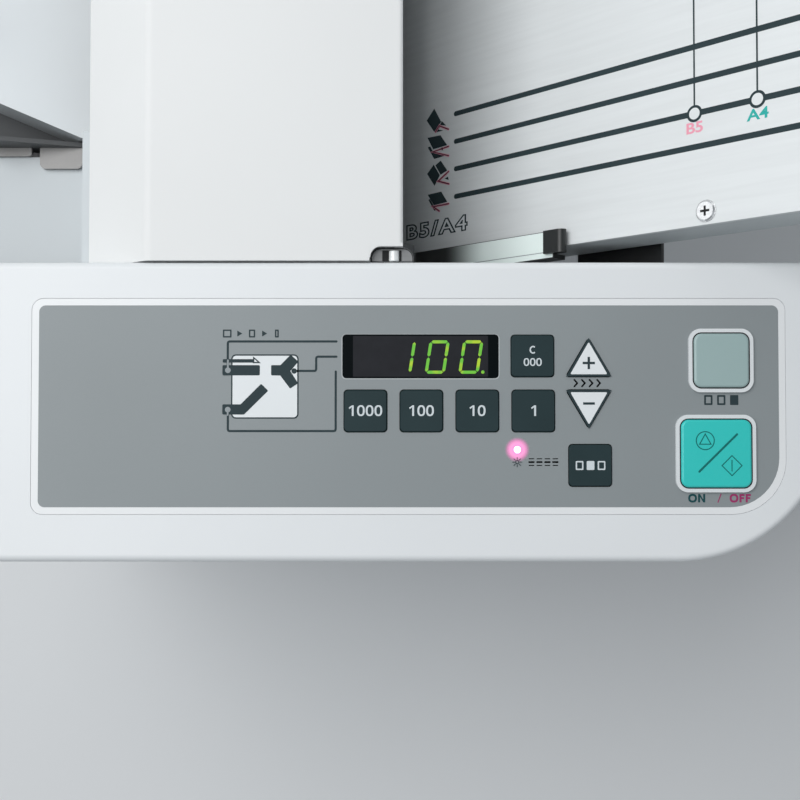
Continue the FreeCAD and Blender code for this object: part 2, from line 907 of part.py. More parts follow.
def make_small_rollers():
    """Feed roller with three tyres, its idler gear, the exit roller and the exit belt."""
    middles = [d.paper_offset + n * d.feed_tyre_pitch for n in (-1, 0, 1)]
    feed = new_body("feed_roller")
    rear_end = frame_rear_out + d.sheet_metal
    half = d.feed_tyre_width / 2
    spin(feed, tyre_profile(shaft_front, rear_end, d.feed_shaft_radius, d.feed_tyre_radius, middles, half))
    add_gear(feed, d.gear_teeth, gear_pitch_radius)
    settle("feed_roller", feed, centre_feed[0], 0, centre_feed[1], -phase_feed)

    idler = new_body("idler_gear")
    collar_front = frame_front_in + (d.bush_length - d.frame_thick) / 2 + d.gap
    collar_rear = collar_front + d.frame_thick
    collar = d.feed_shaft_radius + d.bush_wall / 2
    spin(
        idler,
        [
            (shaft_front, 0),
            (shaft_front, d.feed_shaft_radius),
            (collar_front, d.feed_shaft_radius),
            (collar_front, collar),
            (collar_rear, collar),
            (collar_rear, 0),
        ],
    )
    add_gear(idler, d.pinion_teeth, pinion_pitch_radius)
    settle("idler_gear", idler, centre_idler[0], 0, centre_idler[1], -phase_idler)

    leave = new_body("exit_roller")
    middles = [d.paper_offset + n * 1.6 * d.feed_tyre_pitch for n in (-1, 0, 1)]
    points = tyre_profile(
        frame_front_out - d.sheet_metal,
        pulley_front,
        d.feed_shaft_radius,
        d.exit_tyre_radius,
        middles,
        half,
    )[:-1]
    points += [(pulley_front, d.pulley_radius), (pulley_rear, d.pulley_radius), (pulley_rear, 0)]
    spin(leave, points)
    settle("exit_roller", leave, centre_exit[0], 0, centre_exit[1])

    across = centre_4[0] - centre_exit[0]
    up = centre_4[1] - centre_exit[1]
    angle = Size(math.degrees(math.atan2(up.value, across.value)), f"atan2({up.text}; {across.text})")
    length = Size(math.hypot(across.value, up.value), f"hypot({across.text}; {up.text})")
    low = pulley_front + d.sheet_metal / 2
    high = low + d.belt_width
    inside = d.pulley_radius + d.gap
    outside = inside + d.belt_thick
    belt = new_body("exit_belt")
    pad(belt, "XZ", low, high, [rectangle(-outside, length + outside, -outside, outside, outside * 0.999)])
    pocket(belt, "XZ", low, high, [rectangle(-inside, length + inside, -inside, inside, inside * 0.999)])
    settle("exit_belt", belt, centre_exit[0], 0, centre_exit[1], -angle)


def make_motor():
    """Drive motor in front of the gear train, its bracket and its pinion."""
    x, z = centre_motor
    plate_rear = gear_front - 2 * d.sheet_metal
    plate_front = plate_rear - 2 * d.sheet_metal
    can = rod("motor_can", d.motor_radius, x, z, plate_front - d.motor_length, plate_front)
    cap = rod(
        "motor_cap",
        d.motor_radius * 0.6,
        x,
        z,
        plate_front - d.motor_length - d.frame_thick,
        plate_front - d.motor_length,
    )
    bore = rod("motor_bore", d.clamp_radius + d.running_gap, x, z, plate_front - d.overrun, plate_front)
    settle("drive_motor", cut("motor_bored", fuse("motor_body", [can, cap]), [bore]))

    side = d.motor_radius + d.rod_radius
    plate = block("bracket_plate", x - side, x + side, plate_front, plate_rear, z - side, z + side)
    hole = rod("bracket_hole", d.motor_radius / 2, x, z, plate_front, plate_rear)
    pieces = [cut("bracket_bored", plate, [hole])]
    reach = d.motor_radius
    for across, up in ((-1, 1), (-1, -1), (1, -1)):
        pieces.append(
            rod("bracket_post", d.rod_radius, x + reach * across, z + reach * up, plate_rear, frame_front_out)
        )
    settle("motor_bracket", fuse("bracket_fused", pieces))

    pinion = new_body("motor_pinion")
    profile = [
        (plate_front - d.overrun + d.gap, 0),
        (plate_front - d.overrun + d.gap, d.clamp_radius),
        (gear_rear + d.sheet_metal, d.clamp_radius),
        (gear_rear + d.sheet_metal, 0),
    ]
    spin(pinion, profile)
    add_gear(pinion, d.pinion_teeth, pinion_pitch_radius)
    settle("motor_pinion", pinion, x, 0, z, -phase_motor)


def key_places():
    """Number keys, clear key and mode key, each as (name, x, y)."""
    names = ("key_1000", "key_100", "key_10", "key_1")
    places = []
    for n, name in enumerate(names):
        places.append((name, n * d.key_pitch - d.key_first_place, -d.number_row))
    places.append(("key_clear", d.clear_key_place, -d.clear_key_row))
    places.append(("key_mode", d.mode_key_place, -d.mode_key_row))
    return places


def square_at(x, y, width, depth, more=0, radius=None):
    half_x = width / 2 + more
    half_y = depth / 2 + more
    return rectangle(x - half_x, x + half_x, y - half_y, y + half_y, radius)


def arrow_at(row, upward, more=0):
    """Triangle of a speed key: its base lies on the row, its tip points up or down."""
    sign = 1 if upward else -1
    half = d.arrow_width / 2
    slope_share = 2.0
    corners = [
        (d.arrow_place - half - more * slope_share, row - sign * more),
        (d.arrow_place + half + more * slope_share, row - sign * more),
        (d.arrow_place, row + sign * (d.arrow_length + more * slope_share)),
    ]
    return corners if upward else corners[::-1]


BUTTONS = (
    ("start_button", d.start_place, -d.start_row, d.start_width, d.start_depth),
    ("test_button", d.test_place, -d.test_row, d.test_width, d.test_depth),
)
ARROWS = (("key_speed_up", -d.arrow_up_row, True), ("key_speed_down", -d.arrow_down_row, False))


def control_holes(more):
    """Outlines of every hole that the controls need in the console and its overlay."""
    loops = [square_at(x, y, d.key_width, d.key_depth, d.key_slack + more) for name, x, y in key_places()]
    loops += [arrow_at(row, upward, d.key_slack + more) for name, row, upward in ARROWS]
    ring_wall = d.button_slack + d.bezel_wall + d.running_gap
    loops += [square_at(x, y, width, depth, ring_wall + more) for name, x, y, width, depth in BUTTONS]
    window = square_at(d.window_place, -d.window_row, d.window_width, d.window_depth, d.running_gap + more)
    loops.append(window)
    return loops


def console_outline(inset):
    small = d.console_small_corner if inset is None else d.console_small_corner - d.console_wall / 2
    inset = as_size(0) if inset is None else inset
    big = d.console_corner - inset
    return [
        (-d.console_left + inset, -d.console_depth + inset, small),
        (d.console_right - inset, -d.console_depth + inset, big),
        (d.console_right - inset, -inset, small),
        (-d.console_left + inset, -inset, small),
    ]


def overlay_outline(more):
    corner = d.overlay_corner + more
    return [
        (-d.overlay_left - more, -d.overlay_front - more, corner),
        (d.overlay_right + more, -d.overlay_front - more, d.overlay_big_corner + more),
        (d.overlay_right + more, -d.overlay_rear + more, corner),
        (-d.overlay_left - more, -d.overlay_rear + more, corner),
    ]


def boss_places():
    inset = d.console_wall + 1.6 * d.console_boss_radius
    left = -d.console_left + inset
    right = d.console_right - inset
    near = -d.console_depth + inset
    far = frame_front_out - d.key_stem - d.console_boss_radius
    return [(left, near), (left, far), (right, far), (right - d.console_corner / 2, near)]


def make_console():
    """Console shell with its recess and holes, and the tray that closes it from below."""
    shell = new_body("console_shell")
    pad(shell, "XY", console_bottom, d.console_top, [console_outline(None)])
    round_edges(shell, at_level(d.console_top), d.console_round)
    ceiling = d.console_top - d.console_wall
    pocket(shell, "XY", console_bottom, ceiling, [console_outline(d.console_wall)])
    tray_top = console_bottom + d.wall
    bosses = [(x, y, d.console_boss_radius) for x, y in boss_places()]
    pad(shell, "XY", tray_top, ceiling + d.overlay_thick / 2, circles=bosses)
    bores = [(x, y, d.console_boss_bore) for x, y in boss_places()]
    pocket(shell, "XY", tray_top, ceiling - d.console_wall, circles=bores)
    pocket(shell, "XY", d.console_top - d.overlay_thick, d.console_top, [overlay_outline(d.running_gap * 2)])
    pocket(shell, "XY", ceiling, d.console_top, control_holes(d.running_gap))
    lamp = (d.lamp_place, -d.lamp_row, d.lamp_radius + d.running_gap)
    pocket(shell, "XY", ceiling, d.console_top, circles=[lamp])
    settle("console_shell", shell)

    overlay = new_body("console_overlay")
    bottom = d.console_top - d.overlay_thick
    pad(overlay, "XY", bottom, d.console_top - d.running_gap, [overlay_outline(0)])
    pocket(overlay, "XY", bottom, d.console_top, control_holes(0))
    pocket(overlay, "XY", bottom, d.console_top, circles=[lamp])
    settle("console_overlay", overlay)

    tray = new_body("console_tray")
    inset = d.console_wall + d.gap
    outline = console_outline(inset)
    far = frame_front_out - d.gap * 3
    outline[2] = (d.console_right - inset, far)
    outline[3] = (-d.console_left + inset, far)
    pad(tray, "XY", console_bottom, tray_top, [outline])
    slot = rectangle(-d.board_left, d.board_right / 2, -d.board_rear - d.console_height, -d.board_rear)
    pocket(tray, "XY", console_bottom, tray_top, [slot])
    holes = [(x, y, d.screw_shank) for x, y in boss_places()]
    pocket(tray, "XY", console_bottom, tray_top, circles=holes)
    settle("console_tray", tray)


board_top = d.console_top - d.board_drop
switch_top = board_top + d.key_stem + d.board_thick / 2


def make_controls():
    """Keys, buttons, their bezels, display, lamp and the board below them."""
    top = d.console_top
    tray_top = console_bottom + d.wall
    stem_low = switch_top + d.key_travel + 2 * d.running_gap
    for name, x, y in key_places():
        key = new_body(name)
        face = square_at(0, 0, d.key_width, d.key_depth, 0, d.key_corner)
        pad(key, "XY", top - d.key_skirt, top + d.key_stand, [face])
        pad(key, "XY", stem_low, top - d.key_skirt, circles=[(0, 0, d.key_stem / 2)])
        bevel_edges(key, at_level(top + d.key_stand), d.key_stand / 2)
        settle(name, key, x, y)
    for name, row, upward in ARROWS:
        key = new_body(name)
        pad(key, "XY", top - d.key_skirt, top + d.key_stand, [arrow_at(row, upward)])
        sign = 1 if upward else -1
        middle = (d.arrow_place, row + sign * d.arrow_length / 3, d.key_stem / 2)
        pad(key, "XY", stem_low, top - d.key_skirt, circles=[middle])
        settle(name, key)
    rings = []
    for name, x, y, width, depth in BUTTONS:
        button = new_body(name)
        face = square_at(0, 0, width, depth, 0, d.button_corner)
        pad(button, "XY", top + d.button_stand - d.button_skirt, top + d.button_stand, [face])
        stem_low = switch_top + d.button_travel + d.gap
        pad(button, "XY", stem_low, top + d.button_stand - d.button_skirt, circles=[(0, 0, d.key_stem / 2)])
        round_edges(button, at_level(top + d.button_stand), d.button_stand / 2)
        settle(name, button, x, y)
        bezel = new_body("bezel_ring")
        outer = square_at(x, y, width, depth, d.button_slack + d.bezel_wall, d.button_corner + d.bezel_wall)
        pad(bezel, "XY", top - d.bezel_depth, top + d.bezel_stand, [outer])
        inner = square_at(x, y, width, depth, d.button_slack, d.button_corner + d.button_slack)
        pocket(bezel, "XY", top - d.bezel_depth, top + d.bezel_stand, [inner])
        rings.append(bezel)
    settle("button_bezels", group("bezel_group", rings))

    window = new_body("display_window")
    pane = square_at(d.window_place, -d.window_row, d.window_width, d.window_depth, 0, d.window_corner)
    pane_top = top - 2 * d.running_gap
    pad(window, "XY", pane_top - d.window_thick, pane_top, [pane])
    settle("display_window", window)
    half = d.module_width / 2
    depth = d.window_depth / 2
    module = block(
        "display_block",
        d.window_place - half,
        d.window_place + half,
        -d.window_row - depth,
        -d.window_row + depth,
        board_top,
        pane_top - d.window_thick - d.gap,
    )
    settle("display_module", module)

    lamp = new_body("status_lamp")
    dome = top + d.lamp_radius * 0.2
    pad(lamp, "XY", board_top - d.board_thick / 2, dome, circles=[(d.lamp_place, -d.lamp_row, d.lamp_radius)])
    round_edges(lamp, at_level(dome), d.lamp_radius * 0.8)

    board_low = board_top - d.board_thick
    left, right = -d.board_left, d.board_right
    parts = [lamp, block("board_plate", left, right, -d.board_front, -d.board_rear, board_low, board_top)]
    spots = [(x, y) for name, x, y in key_places()]
    spots += [(d.arrow_place, row + (1 if up else -1) * d.arrow_length / 3) for name, row, up in ARROWS]
    spots += [(x, y) for name, x, y, width, depth in BUTTONS]
    side = d.switch_side / 2
    for x, y in spots:
        parts.append(block("key_switch", x - side, x + side, y - side, y + side, board_top, switch_top))
    for x in (-d.board_left + d.standoff_inset, d.board_right - d.standoff_inset):
        for y in (-d.board_front + d.standoff_inset, -d.board_rear - d.standoff_inset):
            parts.append(post("standoff", d.standoff_radius, x, y, tray_top, board_low))
    settle("control_board", fuse("board_fused", parts))


def screw_places():
    margin = d.foot_radius
    columns = (-d.housing_left + margin, d.housing_right - margin)
    rows = (d.housing_bottom + margin, d.console_top - margin)
    return [(x, z) for x in columns for z in rows]


def make_housings():
    """Front housing under the console, rear housing, and the steel side panels between them."""
    front = new_body("front_housing")
    top = console_bottom - d.gap
    left = -d.housing_left
    right = d.housing_right
    near = -d.housing_front
    far = frame_front_out - d.gap
    outer = [
        (left, near, d.housing_corner),
        (right, near, d.housing_corner),
        (right, far),
        (left, far),
    ]
    pad(front, "XY", d.housing_bottom, top, [outer])
    inner = [
        (left + d.wall, near + d.wall, d.housing_corner - d.wall),
        (right - d.wall, near + d.wall, d.housing_corner - d.wall),
        (right - d.wall, far + d.overrun),
        (left + d.wall, far + d.overrun),
    ]
    pocket(front, "XY", d.housing_bottom, top, [inner])
    settle("front_housing", front)

    rear = new_body("rear_housing")
    low = frame_rear_out + d.rear_housing_gap
    outer = [
        (left, d.housing_bottom),
        (right, d.housing_bottom),
        (right, d.console_top, d.housing_corner),
        (left, d.console_top, d.housing_corner),
    ]
    pad(rear, "XZ", low, back_face, [outer])
    inner = [
        (left + d.wall, d.housing_bottom),
        (right - d.wall, d.housing_bottom),
        (right - d.wall, d.console_top - d.wall, d.housing_corner - d.wall),
        (left + d.wall, d.console_top - d.wall, d.housing_corner - d.wall),
    ]
    pocket(rear, "XZ", low, back_face - d.wall, [inner])
    vents = []
    for n in range(12):
        x = left + d.foot_inset + n * d.vent_pitch
        vents.append(rectangle(x, x + d.vent_width, d.frame_shoulder - d.vent_length, d.frame_shoulder))
    pocket(rear, "XZ", back_face - d.wall, back_face, vents)
    inlet = square_at(-d.inlet_place, d.inlet_z, d.inlet_width, d.inlet_height, d.running_gap)
    rocker = square_at(-d.rocker_place, d.inlet_z, d.rocker_width, d.rocker_height, 0)
    pocket(rear, "XZ", back_face - d.wall, back_face, [inlet, rocker])
    holes = [(x, z, d.screw_radius + d.running_gap) for x, z in screw_places()]
    pocket(rear, "XZ", back_face - d.screw_head - d.running_gap, back_face, circles=holes)
    settle("rear_housing", rear)

    left_panel = new_body("left_side_panel")
    x1 = -d.frame_left - d.gap
    low_y = frame_front_out
    high_y = frame_rear_out
    pad(left_panel, "YZ", x1 - d.sheet_metal, x1, [rectangle(low_y, high_y, floor_top, d.frame_shoulder)])
    mouth = rectangle(
        d.paper_offset - d.mouth_half,
        d.paper_offset + d.mouth_half,
        d.mouth_bottom,
        d.mouth_top,
        d.key_stem,
    )
    pocket(left_panel, "YZ", x1 - d.sheet_metal, x1, [mouth])
    right_panel = new_body("right_side_panel")
    x0 = d.frame_right + d.gap
    top = d.foot_height + d.lower_drop * 2
    pad(right_panel, "YZ", x0, x0 + d.sheet_metal, [rectangle(low_y, high_y, floor_top, top)])
    settle("side_panels", group("side_panel_group", [left_panel, right_panel]))


def make_shoulders():
    """Bent covers on the left, before and behind the feed throat."""
    thick = d.wall
    left = -d.housing_left
    bend = -d.shoulder_right - thick
    profile = [
        (left, d.shoulder_bottom),
        (left + thick, d.shoulder_bottom),
        (left + thick, d.shoulder_top - thick),
        (bend + thick, d.shoulder_top - thick),
        (bend + thick, d.shoulder_rise),
        (bend, d.shoulder_rise),
        (bend, d.shoulder_top),
        (left, d.shoulder_top, d.key_stem / 2),
    ]
    near = d.cover_gap
    covers = []
    for low, high in ((near, d.shoulder_depth), (mirror_y(d.shoulder_depth), mirror_y(near))):
        body = new_body("shoulder_cover")
        pad(body, "XZ", low, high, [profile])
        covers.append(body)
    settle("shoulder_covers", group("shoulder_group", covers))


def make_top_cover():
    """Hinged cover over the rollers: sloped front lip, flat top, short skirt, and a notch at its corner."""
    low = d.cover_gap
    high = mirror_y(d.cover_gap)
    bottom = d.console_top - d.cover_skirt
    lip = d.console_top - d.cover_drop
    body = new_body("top_cover")
    outer = [
        (-d.cover_left, bottom),
        (-d.cover_left, lip),
        (-d.cover_flat_left, d.console_top),
        (d.cover_right, d.console_top),
        (d.cover_right, bottom),
    ]
    pad(body, "XZ", low, high, [outer])
    round_edges(body, at_level(d.cover_right, 0), d.key_corner)
    round_edges(body, at_level(-d.cover_flat_left, 0), d.key_stem)
    slope = d.wall / 3
    inner = [
        (-d.cover_left + d.wall, bottom),
        (-d.cover_left + d.wall, lip - slope),
        (-d.cover_flat_left + slope, d.console_top - d.wall),
        (d.cover_right - d.wall, d.console_top - d.wall),
        (d.cover_right - d.wall, bottom),
    ]
    pocket(body, "XZ", low + d.wall, high - d.wall, [inner])
    ear = rectangle(
        -d.hinge_x - d.hinge_ear,
        -d.hinge_x + d.hinge_ear,
        d.hinge_z - d.hinge_ear,
        bottom + d.wall,
        d.hinge_ear * 0.8,
    )
    for start, stop in ((low, low + d.wall), (high - d.wall, high)):
        pad(body, "XZ", start, stop, [ear])
        pocket(body, "XZ", start, stop, circles=[(-d.hinge_x, d.hinge_z, d.hinge_radius + d.running_gap)])
    notch = rectangle(
        d.cover_right - d.notch_width,
        d.cover_right + d.gap,
        low - d.gap,
        low + d.notch_depth,
    )
    pocket(body, "XY", bottom, d.console_top, [notch])
    settle("top_cover", body)


def make_pins():
    """Fixed pins in the side frames: two for the top cover, two for the clamp levers."""
    near = d.cover_gap + d.wall
    spans = ((frame_front_out, near), (mirror_y(near), frame_rear_out))
    pins = [rod("hinge_pin", d.hinge_radius, -d.hinge_x, d.hinge_z, low, high) for low, high in spans]
    spans = ((frame_front_out, d.strap_far), (mirror_y(d.strap_far), frame_rear_out))
    pins += [rod("clamp_pin", d.clamp_radius, clamp_x, clamp_z, low, high) for low, high in spans]
    settle("hinge_pins", group("pin_group", pins))


def make_clamps():
    """The two levers that hold the first fold plate down, each with a U strap round its pin and a grip."""
    for name, flip in (("front", False), ("rear", True)):
        def span(low, high, flip=flip):
            return (mirror_y(high), mirror_y(low)) if flip else (low, high)

        half = d.strap_half
        bottom = -d.strap_low
        lever = new_body(f"clamp_lever_{name}")
        low, high = span(d.lever_near, d.strap_far)
        pad(lever, "XZ", low, high, [rectangle(-half, half, bottom, d.strap_high, d.strap_thick)])
        low, high = span(d.lever_near - d.overrun, d.strap_far - d.strap_thick)
        inside = half - d.strap_thick
        hollow = rectangle(-inside, inside, bottom - d.overrun, d.strap_high + d.overrun)
        pocket(lever, "XZ", low, high, [hollow])
        low, high = span(d.strap_far - d.strap_thick, d.strap_far)
        pocket(lever, "XZ", low, high, circles=[(0, 0, d.clamp_radius + d.running_gap)])
        low, high = span(d.lever_near, d.lever_far)
        pad(lever, "XZ", low, high, [rectangle(inside, d.lever_reach, bottom, bottom + d.lever_thick)])
        low, high = span(d.lever_near, d.lever_near + d.lever_thick)
        web = rectangle(inside, d.lever_reach, bottom - d.lever_web, bottom + d.lever_thick)
        pad(lever, "XZ", low, high, [web])
        tip = d.lever_reach + d.tab_length
        grip = [
            (d.lever_reach - d.tab_thick, bottom),
            (tip, bottom, d.tab_thick / 3),
            (tip, bottom + d.tab_thick, d.tab_thick * 0.6),
            (d.lever_reach - d.tab_thick, bottom + d.tab_thick),
        ]
        low, high = span(d.lever_near + d.lever_thick, d.lever_far)
        pad(lever, "XZ", low, high, [grip])
        settle(f"clamp_lever_{name}", lever, clamp_x, 0, clamp_z, -d.plate_angle)


def make_feed_table():
    """Sloped paper table with its rim, its slots, two side guides and the brackets that carry it."""
    table = new_body("feed_table")
    half = d.table_half_width
    narrow = d.table_narrow_half
    mid = d.paper_offset

    def outline(inset):
        return [
            (-inset, mid - half + inset),
            (-inset, mid + half - inset),
            (-d.table_straight - inset * 0.2, mid + half - inset),
            (-d.table_taper, mid + narrow - inset),
            (-d.table_length + inset, mid + narrow - inset, d.table_corner - inset),
            (-d.table_length + inset, mid - narrow + inset, d.table_corner - inset),
            (-d.table_taper, mid - narrow + inset),
            (-d.table_straight - inset * 0.2, mid - half + inset),
        ]

    pad(table, "XY", -d.table_rim, 0, [outline(as_size(0))])
    pocket(table, "XY", -d.table_rim, -d.table_skin, [outline(d.table_skin)])
    open_end = rectangle(-d.table_skin * 2, d.gap, mid - half + d.table_skin, mid + half - d.table_skin)
    pocket(table, "XY", -d.table_rim, -d.table_skin, [open_end])
    slots = []
    slot_middles = (-d.guide_start - d.guide_length / 4, -d.guide_start - 3 * d.guide_length / 4)
    slot_half = d.slot_width / 2
    for x in slot_middles:
        for side in (-1, 1):
            near = mid + side * (d.guide_rest + d.wall)
            far = mid + side * (d.guide_rest - d.guide_travel - d.guide_foot)
            low, high = (near, far) if side < 0 else (far, near)
            slots.append(rectangle(x - slot_half, x + slot_half, low, high))
    pocket(table, "XY", -d.table_skin, 0, slots)
    settle("feed_table", table, -d.table_foot_x, 0, d.table_foot_z, d.table_slope)

    for name, side in (("front", -1), ("rear", 1)):
        guide = new_body(f"feed_guide_{name}")
        fence = mid + side * d.guide_rest
        foot = fence - side * d.guide_foot
        edge = fence + side * d.lever_thick
        low, high = (edge, fence) if side < 0 else (fence, edge)
        x0 = -d.guide_start - d.guide_length
        x1 = -d.guide_start
        base = d.gap
        tall = [
            (x0, base),
            (x1, base),
            (x1, base + d.guide_height, d.table_rim),
            (x0, base + d.guide_height * 0.7, d.table_rim / 2),
        ]
        pad(guide, "XZ", low, high, [tall])
        low, high = (fence, foot) if side < 0 else (foot, fence)
        pad(guide, "XZ", low, high, [rectangle(x0, x1, base, base + d.lever_thick)])
        pins = []
        for x in slot_middles:
            inside = slot_half - d.gap
            pins.append(rectangle(x - inside, x + inside, -d.table_skin - 2 * d.gap, base + d.gap))
        middle = (fence + foot) / 2
        pad(guide, "XZ", middle - slot_half, middle + slot_half, pins)
        settle(f"feed_guide_{name}", guide, -d.table_foot_x, 0, d.table_foot_z, d.table_slope)

    settle("feed_table_brackets", group("bracket_group", [table_bracket(False), table_bracket(True)]))


def table_bracket(flip):
    """Folded bracket: a shelf under the table's rim, an upright beside it and two tabs on the shoulder."""

    def span(low, high):
        return (mirror_y(high), mirror_y(low)) if flip else (low, high)

    edge = d.paper_offset - d.table_half_width
    web_near = edge - 2 * d.gap - d.sheet_metal
    sloped = new_body("table_bracket")
    x0 = -d.bracket_length
    under = -d.table_rim - d.gap
    low, high = span(web_near, edge + d.table_rim)
    pad(sloped, "XZ", low, high, [rectangle(x0, -d.table_skin, under - d.sheet_metal, under)])
    low, high = span(web_near, web_near + d.sheet_metal)
    upright = [
        (x0, under - d.bracket_drop / 2),
        (-d.table_skin, under - d.bracket_drop),
        (-d.table_skin, -d.table_rim / 3),
        (x0, -d.table_rim / 2, d.key_stem),
    ]
    pad(sloped, "XZ", low, high, [upright])
    place(sloped, -d.table_foot_x, 0, d.table_foot_z, d.table_slope)
    tabs = new_body("bracket_tabs")
    low, high = span(d.shoulder_depth - d.tab_overlap, web_near + d.sheet_metal)
    right = -d.shoulder_right - d.table_rim
    middle = right - d.bracket_length * 0.36
    left = right - d.bracket_length * 0.8
    corner = d.key_stem / 2
    plates = [
        rectangle(middle + d.sheet_metal, right, low, high, corner),
        rectangle(left, middle - d.sheet_metal, low, high, corner),
    ]
    base = d.shoulder_top + d.gap
    pad(tabs, "XY", base, base + d.sheet_metal, plates)
    return fuse("table_bracket_fused", [sloped, tabs])


def make_feed_parts():
    """Sheet guides between the side frames, at the feed and at the exit, and the separation pad."""
    plate = new_body("lower_feed_plate")
    low = frame_front_in + d.gap
    high = frame_rear_in - d.gap
    top = -d.lever_thick
    bottom = top - d.sheet_metal
    near = d.table_skin
    bend = d.pad_length * 2.4
    end = bend + d.pad_length
    dip = d.pad_length * 0.36
    profile = [
        (near, bottom),
        (near, top),
        (bend, top),
        (end, top - dip),
        (end, bottom - dip),
        (bend, bottom),
    ]
    pad(plate, "XZ", low, high, [profile])
    window = rectangle(
        d.pad_length * 1.2,
        d.pad_length * 2.2,
        d.paper_offset - d.pad_width / 2 - d.gap,
        d.paper_offset + d.pad_width / 2 + d.gap,
    )
    pocket(plate, "XY", bottom, top, [window])
    place(plate, -d.table_foot_x, 0, d.table_foot_z, d.feed_slope)
    guide = new_body("exit_guide")
    x0 = centre_exit[0] + d.exit_tyre_radius + d.frame_thick
    x1 = centre_4[0] - d.roller_radius - d.frame_thick
    z0 = centre_exit[1] + d.exit_tyre_radius * 0.6
    z1 = centre_4[1] + d.roller_radius * 0.6
    thick = d.sheet_metal
    profile = [(x0, z0 - thick), (x1, z1 - thick), (x1, z1), (x0, z0)]
    pad(guide, "XZ", low, high, [profile])
    settle("paper_guides", group("guide_group", [plate, guide]))
    pad_body = block(
        "pad_rubber",
        d.pad_length * 1.2 + d.gap,
        d.pad_length * 2.2 - d.gap,
        d.paper_offset - d.pad_width / 2,
        d.paper_offset + d.pad_width / 2,
        -d.pad_thick - d.gap,
        -d.gap,
    )
    settle("separation_pad", pad_body, -d.table_foot_x, 0, d.table_foot_z, d.feed_slope)


def make_fold_plate_1():
    """First fold plate: printed top sheet, grooved frame with rails, paper stop, knob and its support."""
    near = d.paper_offset - d.plate_half_width
    far = mirror_y(near)
    top_sheet = new_body("fold_plate_1_sheet")
    start = d.plate_start
    end = d.plate_length
    pad(top_sheet, "XY", -d.plate_panel, 0, [rectangle(start, end, near, far, d.key_corner)])
    slots = []
    for side in (-1, 1):
        y = d.paper_offset + side * d.stop_slot_offset
        slots.append(
            rectangle(
                d.stop_place - d.stop_down - d.stop_width,
                d.stop_place + d.stop_up + d.stop_width,
                y - d.slot_width / 2,
                y + d.slot_width / 2,
                d.slot_width * 0.45,
            )
        )
    pocket(top_sheet, "XY", -d.plate_panel, 0, slots)
    sink = d.paper_offset - d.plate_half_width + d.rail_width / 2
    holes = []
    for y in (sink, mirror_y(sink)):
        for x in (d.plate_screw_place, d.plate_length - d.rail_width * 2):
            holes.append((x, y, d.screw_shank + d.running_gap))
    pocket(top_sheet, "XY", -d.plate_panel, 0, circles=holes)
    settle("fold_plate_1_sheet", top_sheet, 0, 0, d.plate_zero_z, -d.plate_angle)

    frame = new_body("fold_plate_1_frame")
    top = -d.plate_panel
    channel_floor = top - d.plate_channel
    bottom = -d.rail_depth
    rails = [
        [
            (near, bottom, d.rail_round),
            (near + d.rail_width, bottom),
            (near + d.rail_width, top),
            (near, top),
        ],
        [
            (far - d.rail_width, bottom),
            (far, bottom, d.rail_round),
            (far, top),
            (far - d.rail_width, top),
        ],
    ]
    pad(frame, "YZ", d.rail_start, end, rails)
    cross = rectangle(near + d.rail_width / 2, far - d.rail_width / 2, bottom, top)
    pad(frame, "YZ", end - d.rail_width / 2, end, [cross])
    lower = rectangle(d.plate_start + d.rail_width, end, near + d.rail_width, far - d.rail_width)
    pad(frame, "XY", channel_floor - d.plate_panel, channel_floor, [lower])
    holes = []
    for y in (sink, mirror_y(sink)):
        for x in (d.plate_screw_place, d.plate_length - d.rail_width * 2):
            holes.append((x, y, d.screw_shank + d.running_gap))
    pocket(frame, "XY", top - d.overrun / 2, top, circles=holes)
    settle("fold_plate_1_frame", frame, 0, 0, d.plate_zero_z, -d.plate_angle)

    heads = []
    for y in (sink, mirror_y(sink)):
        for x in (d.plate_screw_place, d.plate_length - d.rail_width * 2):
            head = doc.addObject("Part::Cone", "plate_screw_head")
            bind(head, "Radius1", d.screw_radius)
            bind(head, "Radius2", d.screw_radius * 0.8)
            bind(head, "Height", d.screw_head / 2)
            bind(head, "Placement.Base.x", x)
            bind(head, "Placement.Base.y", y)
            shank = post("plate_screw_shank", d.screw_shank, x, y, -d.overrun / 2, 0)
            heads.append(fuse("plate_screw", [head, shank]))
    settle("fold_plate_1_screws", group("plate_screw_group", heads), 0, 0, d.plate_zero_z, -d.plate_angle)

    stop = new_body("fold_plate_1_stop")
    inset = d.rail_width * 2
    bar = rectangle(
        d.stop_place - d.stop_width / 2,
        d.stop_place + d.stop_width / 2,
        near + inset,
        far - inset,
        d.key_stem / 2,
    )
    bar_low = d.gap
    bar_top = d.gap + d.sheet_metal
    pad(stop, "XY", bar_low, bar_top, [bar])
    fingers = []
    for side in (-1, 1):
        y = d.paper_offset + side * d.stop_slot_offset
        finger = d.slot_width / 2 - d.gap
        x = d.stop_place
        fingers.append(rectangle(x - d.stop_width / 2, x + d.stop_width / 2, y - finger, y + finger))
    pad(stop, "XY", channel_floor + d.gap, bar_low + d.gap, fingers)
    knob = (d.stop_place, d.paper_offset, d.knob_radius)
    pad(stop, "XY", bar_top, bar_top + d.knob_height, circles=[knob])
    bevel_edges(stop, at_level(bar_top + d.knob_height), d.key_stem / 4)
    settle("fold_plate_1_stop", stop, 0, 0, d.plate_zero_z, -d.plate_angle)


